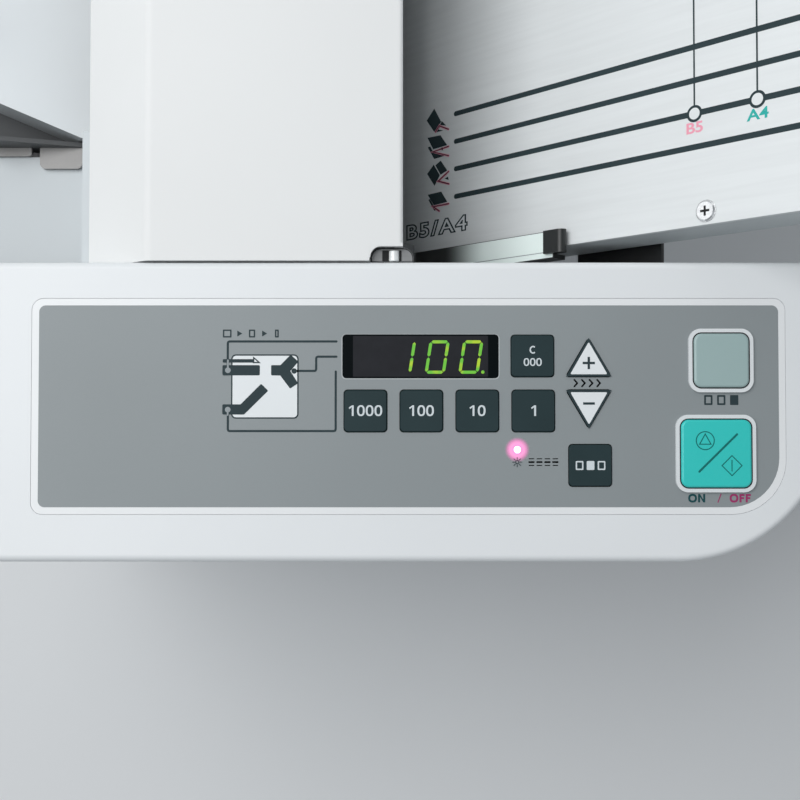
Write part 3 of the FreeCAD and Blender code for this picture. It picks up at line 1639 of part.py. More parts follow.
def support_pair(name, x0, x1, under, drop):
    """Bent shelves under both rails of a fold plate, each with its flange on a side frame."""
    near = d.paper_offset - d.plate_half_width
    brackets = []
    for flip in (False, True):
        bracket = new_body(name)
        edges = ((frame_front_in, near + d.rail_width), (frame_front_in, frame_front_in + d.sheet_metal))
        if flip:
            edges = [(mirror_y(high), mirror_y(low)) for low, high in edges]
        pad(bracket, "XZ", *edges[0], [rectangle(x0, x1, under - d.sheet_metal, under)])
        pad(bracket, "XZ", *edges[1], [rectangle(x0, x1, under - drop, under)])
        brackets.append(bracket)
    return group(name + "_pair", brackets)


def make_plate_supports():
    under = -d.rail_depth - d.gap
    upper = support_pair("upper_support", d.rail_start * 2, d.rail_start * 3, under, d.overrun)
    place(upper, 0, 0, d.plate_zero_z, -d.plate_angle)
    start = d.lower_start + d.roller_radius + d.bush_length
    under = -d.lower_rail_depth / 2 - d.gap
    lower = support_pair("lower_support", start, start + d.foot_inset, under, d.foot_radius)
    place(lower, mouth_2[0], 0, mouth_2[1], d.lower_angle)
    settle("fold_plate_supports", group("support_group", [upper, lower]))


def make_fold_plate_2():
    """Second fold plate, below the turn: two sheets between rails, its stop and its knob."""
    turn = d.lower_angle
    near = d.paper_offset - d.plate_half_width
    far = mirror_y(near)
    half = d.lower_channel / 2
    start = d.lower_start
    end = d.lower_length
    body = new_body("fold_plate_2")
    rail_start = start + d.roller_radius
    for low, high in ((near, near + d.rail_width), (far - d.rail_width, far)):
        side = rectangle(rail_start, end, -d.lower_rail_depth / 2, d.lower_rail_depth / 2, d.key_corner)
        pad(body, "XZ", low, high, [side])
    sheets = [
        rectangle(start, end, half, half + d.lower_panel),
        rectangle(start, end, -half - d.lower_panel, -half),
    ]
    pad(body, "XZ", near + d.rail_width / 2, far - d.rail_width / 2, sheets)
    cross = rectangle(near + d.rail_width / 2, far - d.rail_width / 2, -half, half)
    pad(body, "YZ", end - d.rail_width / 2, end, [cross])
    slot = rectangle(
        d.lower_stop_place - d.lower_stop_down - d.stop_width / 2,
        d.lower_stop_place + d.lower_stop_up + d.stop_width / 2,
        d.paper_offset - d.slot_width / 2,
        d.paper_offset + d.slot_width / 2,
    )
    pocket(body, "XY", half, half + d.lower_panel, [slot])
    x = mouth_2[0]
    z = mouth_2[1]
    settle("fold_plate_2", body, x, 0, z, turn)

    stop = new_body("fold_plate_2_stop")
    low = d.lower_stop_place - d.stop_width / 2
    high = d.lower_stop_place + d.stop_width / 2
    inset = d.rail_width * 1.5
    bar = rectangle(low, high, near + inset, far - inset)
    pad(stop, "XY", -half + d.gap, half - d.gap, [bar])
    inside = d.slot_width / 2 - d.gap
    neck = rectangle(low, high, d.paper_offset - inside, d.paper_offset + inside)
    pad(stop, "XY", half - 2 * d.gap, half + d.lower_panel + 2 * d.gap, [neck])
    knob_low = half + d.lower_panel + d.gap
    knob = (d.lower_stop_place, d.paper_offset, d.knob_radius)
    pad(stop, "XY", knob_low, knob_low + d.knob_height * 0.6, circles=[knob])
    settle("fold_plate_2_stop", stop, x, 0, z, turn)


def make_stacker():
    """The delivery tray on the left and its sliding paper stop."""
    tray = new_body("stacker_tray")
    right = -d.housing_left + d.wall
    left = right - d.tray_length
    near = d.paper_offset - d.tray_half_width
    far = mirror_y(near)
    skin = d.table_skin
    outer = rectangle(left, right, near, far, d.housing_corner)
    pad(tray, "XY", d.tray_floor, d.tray_floor + d.tray_lip, [outer])
    hollow = rectangle(left + skin, right + d.overrun, near + skin, far - skin)
    pocket(tray, "XY", d.tray_floor + skin, d.tray_floor + d.tray_lip, [hollow])
    legs = [
        (left + d.foot_radius, near + d.foot_radius, d.rod_radius),
        (left + d.foot_radius, far - d.foot_radius, d.rod_radius),
    ]
    pad(tray, "XY", 0, d.tray_floor, circles=legs)
    slot = rectangle(
        right - d.arm_rest - d.arm_out - d.knob_radius * 2 - d.gap,
        right - d.arm_rest + d.arm_in,
        d.paper_offset - d.slot_width / 2,
        d.paper_offset + d.slot_width / 2,
    )
    pocket(tray, "XY", d.tray_floor, d.tray_floor + skin, [slot])
    settle("stacker_tray", tray)

    arm = new_body("stacker_stop")
    x = right - d.arm_rest
    base_low = d.tray_floor + skin + d.gap
    base_top = base_low + skin
    half = d.tray_half_width / 3
    middle = d.paper_offset
    sole = rectangle(x - d.knob_radius * 3, x, middle - half, middle + half, d.key_stem)
    pad(arm, "XY", base_low, base_top, [sole])
    upright = [
        (middle - half, base_low),
        (middle + half, base_low),
        (middle + half * 0.7, base_low + d.arm_height, d.knob_radius),
        (middle - half * 0.7, base_low + d.arm_height, d.knob_radius),
    ]
    pad(arm, "YZ", x - skin, x, [upright])
    inside = d.slot_width / 2 - d.gap
    key = rectangle(x - d.knob_radius * 2, x - d.key_stem, middle - inside, middle + inside)
    pad(arm, "XY", d.tray_floor - d.gap, base_top, [key])
    settle("stacker_stop", arm)


def make_mains():
    """Mains inlet with its three pins, and the rocker switch in its frame."""
    outside = back_face
    inlet = new_body("power_inlet")
    x = -d.inlet_place
    z = d.inlet_z
    face = square_at(x, z, d.inlet_width, d.inlet_height, 0)
    pad(inlet, "XZ", outside - d.inlet_depth, outside, [face])
    rim = d.inlet_flange / 2
    hollow = square_at(x, z, d.inlet_width - 2 * rim, d.inlet_height - 2 * rim, 0, d.key_corner)
    pocket(inlet, "XZ", outside - d.inlet_depth + d.inlet_flange, outside, [hollow])
    pin = d.inlet_flange / 4
    pin_places = ((-1, 1), (0, 1.5), (1, 1))
    pins = []
    for across, up in pin_places:
        px = x + across * d.inlet_width / 4
        pz = z + up * d.inlet_height / 10
        pins.append(rectangle(px - pin, px + pin, pz - 2 * pin, pz + 2 * pin))
    start = outside - d.inlet_depth + d.inlet_flange / 2
    pad(inlet, "XZ", start, outside - d.inlet_flange, pins)
    x = -d.rocker_place
    inner_wall = back_face - d.wall - d.gap
    deep = inner_wall - d.inlet_depth
    casing = square_at(x, z, d.rocker_width, d.rocker_height, d.sheet_metal)
    pad(inlet, "XZ", deep, inner_wall, [casing])
    pocket(inlet, "XZ", deep + d.sheet_metal, inner_wall, [square_at(x, z, d.rocker_width, d.rocker_height)])
    pivot_y = inner_wall - d.rocker_pivot_inset
    reach = d.rocker_width / 2 + d.rocker_pivot_length
    seat = (pivot_y, z, d.rocker_pivot_radius + d.running_gap)
    pocket(inlet, "YZ", x - reach - d.gap, x + reach + d.gap, circles=[seat])
    bridge_low = outside - d.inlet_depth
    bridge = rectangle(-d.inlet_place, x - d.rocker_width / 2 - d.sheet_metal / 2, z - pin * 4, z + pin * 4)
    pad(inlet, "XZ", bridge_low, bridge_low + d.sheet_metal, [bridge])
    settle("power_inlet", inlet)

    rocker = new_body("power_rocker")
    half = d.rocker_height / 2 - 3 * d.gap
    outer = back_face - d.gap
    lean = d.rocker_height * tangent(d.rocker_swing / 2) / 2
    face = [
        (inner_wall, -half),
        (outer, -half),
        (outer - lean * 0.2, 0),
        (outer - lean, half),
        (inner_wall - lean, half),
        (deep + d.inlet_depth / 2, 0),
    ]
    side = d.rocker_width / 2 - d.gap
    pad(rocker, "YZ", -side, side, [[(y, z + up) for y, up in face]])
    pad(rocker, "YZ", -reach, reach, circles=[(pivot_y, z, d.rocker_pivot_radius)])
    settle("power_rocker", rocker, x)


def make_screws():
    """Visible fasteners of the rear housing, sunk in their holes."""
    head_y = back_face - d.screw_head
    heads = [rod("cover_screw", d.screw_radius, x, z, head_y, back_face) for x, z in screw_places()]
    settle("cover_screws", group("screw_group", heads))


def make_all():
    make_fold_plate_2()
    make_stacker()
    make_mains()
    make_base()
    make_frames()
    make_bushes()
    make_fold_rollers()
    make_small_rollers()
    make_motor()
    make_console()
    make_controls()
    make_housings()
    make_shoulders()
    make_top_cover()
    make_clamps()
    make_feed_table()
    make_feed_parts()
    make_fold_plate_1()
    make_pins()
    make_plate_supports()
    make_screws()


def check_and_write():
    """Stops on any failed object, then writes one file per sub-part."""
    doc.recompute()
    bad = []
    for item in doc.Objects:
        if {"Invalid", "Error"} & set(item.State):
            bad.append(item.Name)
    for name, item in NODES.items():
        if item.Shape.isNull() or not item.Shape.isValid():
            bad.append(name)
    if bad:
        raise RuntimeError("failed: " + ", ".join(bad))
    os.makedirs("parts", exist_ok=True)
    for name, item in NODES.items():
        item.Shape.exportStep(f"parts/{name}.step")


make_all()
check_and_write()
print("sub-parts", len(NODES))
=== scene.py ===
from math import atan2, cos, pi, radians, sin

import bmesh
import bpy
from mathutils import Matrix, Vector


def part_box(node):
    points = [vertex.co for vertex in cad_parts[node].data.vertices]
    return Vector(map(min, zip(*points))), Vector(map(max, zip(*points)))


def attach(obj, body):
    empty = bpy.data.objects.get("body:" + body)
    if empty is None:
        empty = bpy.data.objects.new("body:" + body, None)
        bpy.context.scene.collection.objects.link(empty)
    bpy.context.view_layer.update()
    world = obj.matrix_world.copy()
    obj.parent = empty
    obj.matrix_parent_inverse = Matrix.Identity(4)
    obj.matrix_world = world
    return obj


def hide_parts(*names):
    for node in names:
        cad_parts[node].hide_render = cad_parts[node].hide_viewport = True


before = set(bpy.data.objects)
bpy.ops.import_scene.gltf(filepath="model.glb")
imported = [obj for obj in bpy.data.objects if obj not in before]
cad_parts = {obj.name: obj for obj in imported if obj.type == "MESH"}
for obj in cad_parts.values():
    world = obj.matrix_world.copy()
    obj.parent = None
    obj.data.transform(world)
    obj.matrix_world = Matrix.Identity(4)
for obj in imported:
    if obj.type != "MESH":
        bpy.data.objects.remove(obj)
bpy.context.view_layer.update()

# millimetres to Blender's metres
MM = 0.001


def corners_of(node):
    """A node's lowest and highest corner, in millimetres."""
    low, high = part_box(node)
    return low / MM, high / MM


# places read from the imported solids, in millimetres
shell_corner = corners_of("console_shell")[1]
CONSOLE_TOP = shell_corner.z
CONSOLE_REAR = shell_corner.y
ROLLER_TO_FOLD = 15.4
FOLD_X = sum(corner.x for corner in corners_of("fold_roller_2")) / 2 + ROLLER_TO_FOLD

# the photograph's viewpoint
VIEW_X = FOLD_X + 2.6
VIEW_Y = CONSOLE_REAR - 50.05
VIEW_HEIGHT = CONSOLE_TOP + 327.0
VIEW_TILT = 1.43
LENS = 48.8

# the first fold plate's own frame: x along it from its scale's zero, y away from the operator
PLATE_ANGLE = 45.6
PLATE_ZERO_Z = 158.0
PLATE_DEPTH = 400.0
PLATE_FRAME = (
    Matrix.Translation(Vector((FOLD_X, CONSOLE_REAR, PLATE_ZERO_Z)) * MM)
    @ Matrix.Rotation(-radians(PLATE_ANGLE), 4, "Y")
)

# the console's own frame: x right of the viewpoint, y towards the machine from the console's rear edge
CONSOLE_FRAME = Matrix.Translation(Vector((VIEW_X, CONSOLE_REAR, CONSOLE_TOP)) * MM)

# the thickness of a print
FILM = 0.04


# materials


def new_material(name):
    material = bpy.data.materials.new(name)
    material.use_nodes = True
    nodes = material.node_tree.nodes
    nodes.clear()
    output = nodes.new("ShaderNodeOutputMaterial")
    shader = nodes.new("ShaderNodeBsdfPrincipled")
    material.node_tree.links.new(shader.outputs["BSDF"], output.inputs["Surface"])
    return material, material.node_tree, shader


def object_coordinates(tree, stretch=(1, 1, 1)):
    """Coordinates in metres that ride with the piece, stretched for a grain."""
    coordinates = tree.nodes.new("ShaderNodeTexCoord")
    mapping = tree.nodes.new("ShaderNodeMapping")
    mapping.inputs["Scale"].default_value = stretch
    tree.links.new(coordinates.outputs["Object"], mapping.inputs["Vector"])
    return mapping.outputs["Vector"]


def noise(tree, vector, scale, detail=3.0):
    texture = tree.nodes.new("ShaderNodeTexNoise")
    texture.inputs["Scale"].default_value = scale
    texture.inputs["Detail"].default_value = detail
    tree.links.new(vector, texture.inputs["Vector"])
    return texture.outputs["Fac"]


def ramp(tree, value, low, high, stops=(0.35, 0.65)):
    node = tree.nodes.new("ShaderNodeValToRGB")
    for element, place, colour in zip(node.color_ramp.elements, stops, (low, high)):
        element.position = place
        element.color = (*colour, 1)
    tree.links.new(value, node.inputs["Fac"])
    return node.outputs["Color"]


def shade(colour, share):
    return tuple(min(1, channel * share) for channel in colour)


def finish(
    name,
    colour,
    roughness=0.5,
    spread=0.04,
    mottle=30.0,
    grain=2500.0,
    depth=0.02,
    stretch=(1, 1, 1),
    metallic=0.0,
    coat=0.0,
    specular=0.5,
    rough_spread=0.06,
):
    """A surface with slow colour drift, fine grain in its relief, and roughness that varies with it."""
    material, tree, shader = new_material(name)
    vector = object_coordinates(tree, stretch)
    drift = noise(tree, vector, mottle)
    tint = ramp(tree, drift, shade(colour, 1 - spread), shade(colour, 1 + spread))
    tree.links.new(tint, shader.inputs["Base Color"])
    fine = noise(tree, vector, grain, 2.0)
    rough = ramp(tree, fine, (roughness - rough_spread,) * 3, (roughness + rough_spread,) * 3)
    tree.links.new(rough, shader.inputs["Roughness"])
    bump = tree.nodes.new("ShaderNodeBump")
    bump.inputs["Strength"].default_value = depth * 10
    bump.inputs["Distance"].default_value = depth * MM
    tree.links.new(fine, bump.inputs["Height"])
    tree.links.new(bump.outputs["Normal"], shader.inputs["Normal"])
    shader.inputs["Metallic"].default_value = metallic
    shader.inputs["Coat Weight"].default_value = coat
    shader.inputs["Specular IOR Level"].default_value = specular
    return material


def brushed(name, colour, roughness=0.32, stretch=(1, 30, 1), spread=0.08):
    return finish(
        name, colour, roughness, spread, 60.0, 900.0, 0.006, stretch, metallic=1.0, rough_spread=0.08
    )


def glow(name, colour, strength, second=None):
    """Light from an indicator: a second colour gives a slow change across it."""
    material, tree, shader = new_material(name)
    shader.inputs["Base Color"].default_value = (*shade(colour, 0.15), 1)
    shader.inputs["Roughness"].default_value = 0.4
    vector = object_coordinates(tree)
    tint = ramp(tree, noise(tree, vector, 320.0, 1.0), colour, second or colour, (0.42, 0.6))
    tree.links.new(tint, shader.inputs["Emission Color"])
    shader.inputs["Emission Strength"].default_value = strength
    return material


# where a material's second tone begins and ends: painted shade on the table's side edges, the brackets and
# the lever strips, bare steel on the lever straps
TABLE_SHADE_START_X = -90.0
TABLE_SHADE_FULL_X = -30.0
TABLE_SIDE_NORMAL = 0.9
BRACKET_SHADE_FROM_Y = -122.35
STRAP_END_X = 112.5
STRAP_FADE = 0.8
LEVER_SHADE_FULL_X = 123.0
LEVER_SHADE_START_X = 137.0
# the levers' black paint, also the painted shade's tone at the hinge end of the lever strips
LEVER_BLACK_AND_SHADE = (0.016, 0.018, 0.018)


def second_tone(material, factor, tone):
    """Takes a material's colour over into another as the factor's socket runs from 0 to 1."""
    tree = material.node_tree
    shader = tree.nodes["Principled BSDF"]
    first = shader.inputs["Base Color"].links[0].from_socket
    mix = tree.nodes.new("ShaderNodeMix")
    mix.data_type = "RGBA"
    tree.links.new(factor, mix.inputs[0])
    tree.links.new(first, mix.inputs[6])
    mix.inputs[7].default_value = (*tone, 1)
    tree.links.new(mix.outputs[2], shader.inputs["Base Color"])
    return material


def step(tree, value, low, high, interpolation="LINEAR"):
    """A socket that runs from 0 at low to 1 at high, both in millimetres. Low may be the larger one."""
    node = tree.nodes.new("ShaderNodeMapRange")
    node.interpolation_type = interpolation
    node.inputs["From Min"].default_value = low * MM
    node.inputs["From Max"].default_value = high * MM
    tree.links.new(value, node.inputs["Value"])
    return node.outputs["Result"]


def separated(tree, vector):
    split = tree.nodes.new("ShaderNodeSeparateXYZ")
    tree.links.new(vector, split.inputs["Vector"])
    return split.outputs


def calculated(tree, operation, *values):
    node = tree.nodes.new("ShaderNodeMath")
    node.operation = operation
    for place, value in enumerate(values):
        if isinstance(value, (int, float)):
            node.inputs[place].default_value = value
        else:
            tree.links.new(value, node.inputs[place])
    return node.outputs[0]


def bracket_steel():
    """Zinc-plated brackets, with painted shade darkening them under the table; the flanges that stand out
    beside it keep the paler steel.
    """
    material = finish("bracket_steel", (0.28, 0.275, 0.27), 0.5, 0.05, 40.0, metallic=0.2)
    tree = material.node_tree
    place = tree.nodes.new("ShaderNodeNewGeometry").outputs["Position"]
    inside = step(tree, separated(tree, place)["Y"], BRACKET_SHADE_FROM_Y - 0.1, BRACKET_SHADE_FROM_Y)
    # painted shade: inward of the flanges' face the steel takes a near-black tone
    return second_tone(material, inside, (0.1, 0.104, 0.107))


def table_plastic():
    """The feed table, with painted shade greying its side edges towards the machine."""
    material = finish("table_plastic", (0.83, 0.87, 0.89), 0.5, 0.015, 12.0, 1800.0, 0.02)
    tree = material.node_tree
    geometry = tree.nodes.new("ShaderNodeNewGeometry").outputs
    side = calculated(tree, "ABSOLUTE", separated(tree, geometry["Normal"])["Y"])
    on_edge = calculated(tree, "GREATER_THAN", side, TABLE_SIDE_NORMAL)
    place = separated(tree, geometry["Position"])
    along = step(tree, place["X"], TABLE_SHADE_START_X, TABLE_SHADE_FULL_X, "SMOOTHSTEP")
    # painted shade: the side edges take a dark grey towards the machine
    return second_tone(material, calculated(tree, "MULTIPLY", on_edge, along), (0.38, 0.4, 0.41))


def lever_strip_with_shade():
    """The pale mint strip on the lever, with painted shade taking it to black towards the hinge, where the
    cover's shade falls.
    """
    material = finish("lever_bright", (0.84, 0.945, 0.915), 0.4, 0.02)
    tree = material.node_tree
    along = separated(tree, object_coordinates(tree))["X"]
    return second_tone(material, step(tree, along, LEVER_SHADE_START_X, LEVER_SHADE_FULL_X, "SMOOTHSTEP"), LEVER_BLACK_AND_SHADE)


def strap_finish():
    """The levers' black paint, with bare grey steel on the U strap round the pin."""
    material = finish("lever_dark", LEVER_BLACK_AND_SHADE, 0.4, 0.08)
    tree = material.node_tree
    along = separated(tree, object_coordinates(tree))["X"]
    bare = step(tree, along, STRAP_END_X + STRAP_FADE, STRAP_END_X)
    return second_tone(material, bare, (0.2, 0.208, 0.21))


PALE = (0.74, 0.765, 0.78)
MATERIALS = {
    "console": finish("console_plastic", PALE, 0.42, 0.012, 12.0, 1800.0, 0.012, coat=0.05),
    "overlay_white": finish("overlay_white", (0.77, 0.79, 0.8), 0.35, 0.01, 20.0),
    "overlay_grey": finish("overlay_grey", (0.247, 0.275, 0.284), 0.5, 0.02, 15.0, 1400.0, 0.02),
    "key": finish("key_dark", (0.02, 0.038, 0.042), 0.5, 0.05, 60.0, 1600.0, 0.015, specular=0.16),
    "print_dark": finish("print_dark", (0.026, 0.044, 0.05), 0.55, 0.05, specular=0.18),
    "print_pale": finish("print_pale", (0.6, 0.655, 0.68), 0.5, 0.03),
    "print_white": finish("print_white", (0.74, 0.775, 0.79), 0.45, 0.015),
    "print_grey": finish("print_grey", (0.27, 0.305, 0.32), 0.5, 0.03),
    "print_teal": finish("print_teal", (0.006, 0.062, 0.07), 0.5, 0.04, specular=0.25),
    "print_magenta": finish("print_magenta", (0.32, 0.02, 0.12), 0.5, 0.04),
    "print_wine": finish("print_wine", (0.09, 0.014, 0.03), 0.5, 0.04),
    "label_pink": finish("label_pink", (0.84, 0.33, 0.43), 0.5, 0.04),
    "label_teal": finish("label_teal", (0.006, 0.41, 0.37), 0.5, 0.04),
    "window": finish("window_black", (0.003, 0.005, 0.006), 0.3, 0.1, specular=0.04, rough_spread=0.02),
    "window_face": finish("window_face", (0.019, 0.02, 0.024), 0.5, 0.08, 200.0, specular=0.1),
    "window_rim": finish("window_rim", (0.42, 0.45, 0.46), 0.4, 0.03),
    "teal": finish("button_teal", (0.028, 0.56, 0.52), 0.35, 0.015, 12.0, 900.0, 0.004, coat=0.15),
    # painted shade: the start button's grooves as darker teal prints
    "teal_groove_shade": finish("button_groove_shade", (0.006, 0.15, 0.135), 0.5, 0.03, specular=0.2),
    "grey_button": finish("button_grey", (0.32, 0.435, 0.43), 0.38, 0.015, 12.0, 900.0, 0.004, coat=0.15),
    "bezel": finish("bezel_white", (0.72, 0.75, 0.765), 0.3, 0.012, coat=0.3),
    # painted shade: near-black sheets laid where clearances, slots and cross recesses would show shade
    "gap": finish("gap_black", (0.004, 0.005, 0.006), 0.8, 0.1),
    "cover": finish("cover_plastic", (0.74, 0.752, 0.75), 0.5, 0.012, 12.0, 2200.0, 0.02),
    "housing": finish("housing_plastic", (0.68, 0.705, 0.72), 0.55, 0.015, 12.0, 1600.0, 0.03),
    "shoulder": finish("shoulder_plastic", (0.56, 0.6, 0.62), 0.55, 0.02, 15.0, 1600.0, 0.02),
    "table": table_plastic(),
    "guide": finish("guide_plastic", (0.2, 0.22, 0.23), 0.5, 0.03),
    "zinc": brushed("zinc_steel", (0.52, 0.53, 0.54), 0.42, (1, 1, 12), 0.1),
    "flange": bracket_steel(),
    "shaft": brushed("turned_steel", (0.6, 0.61, 0.62), 0.25, (30, 1, 30)),
    "chrome": brushed("polished_steel", (0.8, 0.81, 0.82), 0.24, (1, 1, 1), 0.03),
    "bronze": finish("sintered_bronze", (0.42, 0.27, 0.12), 0.5, 0.15, 200.0, metallic=1.0),
    "rubber": finish("black_rubber", (0.02, 0.021, 0.022), 0.75, 0.15, 80.0, 1200.0, 0.05),
    "feed_rubber": finish("feed_rubber", (0.16, 0.06, 0.03), 0.75, 0.12, 80.0, 1200.0, 0.06),
    "acetal": finish("natural_acetal", (0.7, 0.68, 0.6), 0.4, 0.03),
    "motor": finish("motor_black", (0.02, 0.02, 0.022), 0.35, 0.1, coat=0.3),
    "board": finish("circuit_board", (0.01, 0.09, 0.04), 0.35, 0.12, 300.0),
    "tray": finish("tray_plastic", (0.12, 0.13, 0.135), 0.55, 0.04),
    "black": finish("black_plastic", (0.012, 0.013, 0.014), 0.4, 0.1),
    "lever": strap_finish(),
    "corner": finish(
        "corner_steel", (0.2, 0.205, 0.208), 0.4, 0.06, 60.0, 900.0, 0.006, (1, 12, 1), metallic=0.3
    ),
    "sleeve": finish("lever_sleeve", (0.8, 0.82, 0.82), 0.35, 0.04, 80.0, 900.0, 0.004, metallic=0.15),
    "mint": lever_strip_with_shade(),
    "plate": finish(
        "plate_satin", (0.74, 0.768, 0.775), 0.5, 0.02, 25.0, 900.0, 0.006, (1, 22, 1), metallic=0.1
    ),
    "plate_frame": finish("plate_frame", (0.6, 0.64, 0.65), 0.42, 0.05, metallic=0.1),
    "tie_rod": finish("tie_rod_steel", (0.2, 0.2, 0.205), 0.65, 0.08, metallic=0.5),
    "cork": finish("cork_rubber", (0.28, 0.16, 0.08), 0.8, 0.3, 900.0, 1500.0, 0.1),
    "led_green": glow("led_green", (0.14, 0.52, 0.035), 0.85, (0.46, 0.62, 0.02)),
    "led_pink": glow("led_pink", (1.0, 0.28, 0.6), 1.1),
    "led_core": glow("led_core", (1.0, 0.86, 0.92), 3.0),
}

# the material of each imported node. Keys are dark, and all other nodes are zinc-plated
FINISHED_NODES = {
    "console": "console_shell",
    "tray": "console_tray",
    "overlay_white": "console_overlay",
    "window": "display_window",
    "board": "control_board",
    "print_dark": "key_speed_up key_speed_down",
    "teal": "start_button",
    "grey_button": "test_button",
    "bezel": "button_bezels",
    "housing": "front_housing rear_housing side_panels stacker_tray",
    "shoulder": "shoulder_covers",
    "cover": "top_cover",
    "table": "feed_table",
    "flange": "feed_table_brackets",
    "guide": "feed_guide_front feed_guide_rear stacker_stop",
    "bronze": "roller_bearings",
    "rubber": "fold_roller_1 fold_roller_2 fold_roller_3 fold_roller_4 exit_roller exit_belt rubber_feet",
    "feed_rubber": "feed_roller",
    "acetal": "idler_gear motor_pinion",
    "motor": "drive_motor",
    "cork": "separation_pad",
    "plate": "fold_plate_1_sheet",
    "plate_frame": "fold_plate_1_frame",
    "chrome": "fold_plate_1_screws hinge_pins cover_screws",
    "lever": "clamp_lever_front clamp_lever_rear",
    "tie_rod": "frame_tie_rods",
    "black": (
        "display_module fold_plate_1_stop fold_plate_2_stop fold_plate_supports power_inlet power_rocker"
    ),
}
NODE_FINISH = {node: surface for surface, nodes in FINISHED_NODES.items() for node in nodes.split()}
SMOOTH_ANGLE = radians(28)


def dress_nodes():
    """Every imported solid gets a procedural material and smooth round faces."""
    for name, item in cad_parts.items():
        default = "key" if name.startswith("key_") else "zinc"
        item.data.materials.clear()
        item.data.materials.append(MATERIALS[NODE_FINISH.get(name, default)])
        item.data.shade_smooth()
        item.data.set_sharp_from_angle(angle=SMOOTH_ANGLE)


# shapes


def arc_points(centre, radius, start, end, steps=8):
    angles = (start + (end - start) * n / steps for n in range(steps + 1))
    return [(centre[0] + radius * cos(a), centre[1] + radius * sin(a)) for a in angles]


def rounded(corners, steps=6):
    """A loop from corners (x, y) or (x, y, radius)."""
    loop = []
    count = len(corners)
    for n, corner in enumerate(corners):
        here = Vector(corner[:2])
        if len(corner) == 2 or corner[2] == 0:
            loop.append(tuple(here))
            continue
        radius = corner[2]
        back = (Vector(corners[n - 1][:2]) - here).normalized()
        ahead = (Vector(corners[(n + 1) % count][:2]) - here).normalized()
        half = back.angle(ahead) / 2
        middle = here + (back + ahead).normalized() * (radius / sin(half))
        reach = radius * cos(half) / sin(half)
        first = here + back * reach - middle
        last = here + ahead * reach - middle
        turn = atan2(first.x * last.y - first.y * last.x, first.dot(last))
        start = atan2(first.y, first.x)
        loop += arc_points(middle, radius, start, start + turn, steps)
    return loop


def oblong(x0, x1, y0, y1, radius=0.0):
    return rounded([(x0, y0, radius), (x1, y0, radius), (x1, y1, radius), (x0, y1, radius)])


def block(x, y, half_x, half_y, radius=0.0):
    return oblong(x - half_x, x + half_x, y - half_y, y + half_y, radius)


def circle(x, y, radius, steps=32):
    return arc_points((x, y), radius, 0, 2 * pi * (steps - 1) / steps, steps - 1)


def ring(x, y, outer, inner, steps=32):
    return [circle(x, y, outer, steps), circle(x, y, inner, steps)]


def cross(x, y, arm, half):
    """The outline of a plus sign."""
    loop = []
    corners = [(-half, arm), (-half, half), (-arm, half)]
    for _ in range(4):
        loop += [(x + px, y + py) for px, py in corners]
        corners = [(-py, px) for px, py in corners]
    return loop


def sheet_sign(x, y, half_x, half_y, wall, radius, filled=False):
    """A small rectangle with round corners, as an outline unless it is filled."""
    loops = [block(x, y, half_x, half_y, radius)]
    if not filled:
        loops.append(block(x, y, half_x - wall, half_y - wall, radius - 0.1))
    return loops


def stroke(points, width, square_end=False):
    """The outline of a line of one width along some points, with mitred bends."""
    points = [Vector(p) for p in points]
    left, right = [], []
    for n, here in enumerate(points):
        before = (here - points[n - 1]).normalized() if n else None
        after = (points[n + 1] - here).normalized() if n + 1 < len(points) else None
        along = ((before or after) + (after or before)).normalized()
        side = Vector((-along.y, along.x))
        reach = width / 2
        if before and after:
            reach /= max(0.3, abs(side.dot(Vector((-before.y, before.x)))))
        left.append(tuple(here + side * reach))
        right.append(tuple(here - side * reach))
    if square_end:
        return left + right[::-1]
    first = points[0] - points[1]
    last = points[-1] - points[-2]
    start = atan2(first.y, first.x)
    end = atan2(last.y, last.x)
    head = arc_points(points[-1], width / 2, end + pi / 2, end - pi / 2)
    tail = arc_points(points[0], width / 2, start + pi / 2, start - pi / 2)
    return left[1:-1] + head + right[1:-1][::-1] + tail


def as_mesh(name, item):
    """Turns a curve or text object into a mesh piece."""
    bpy.context.scene.collection.objects.link(item)
    bpy.context.view_layer.update()
    mesh = bpy.data.meshes.new_from_object(item.evaluated_get(bpy.context.evaluated_depsgraph_get()))
    data = item.data
    bpy.data.objects.remove(item)
    bpy.data.curves.remove(data)
    return new_object(name, mesh)


def new_object(name, data):
    item = bpy.data.objects.new(name, data)
    bpy.context.scene.collection.objects.link(item)
    return item


def settle(piece, material, body, matrix):
    """Puts a piece made in millimetres into its place, and lets it ride there."""
    piece.data.transform(matrix @ Matrix.Scale(MM, 4))
    piece.data.materials.clear()
    piece.data.materials.append(MATERIALS[material])
    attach(piece, body)
    return piece


def cut_film(name, loops, low, high, material, body, matrix, bevel=0.0):
    """A flat plate between two levels. Loops inside another are its holes."""
    curve = bpy.data.curves.new(name, "CURVE")
    curve.dimensions = "2D"
    curve.fill_mode = "BOTH"
    curve.extrude = (high - low) / 2 - bevel
    curve.bevel_depth = bevel
    curve.bevel_resolution = 2
    curve.offset = -bevel
    for loop in loops:
        spline = curve.splines.new("POLY")
        spline.points.add(len(loop) - 1)
        for point, (x, y) in zip(spline.points, loop):
            point.co = (x, y, 0, 1)
        spline.use_cyclic_u = True
    piece = as_mesh(name, bpy.data.objects.new(name, curve))
    piece.data.transform(Matrix.Translation((0, 0, (low + high) / 2)))
    return settle(piece, material, body, matrix)


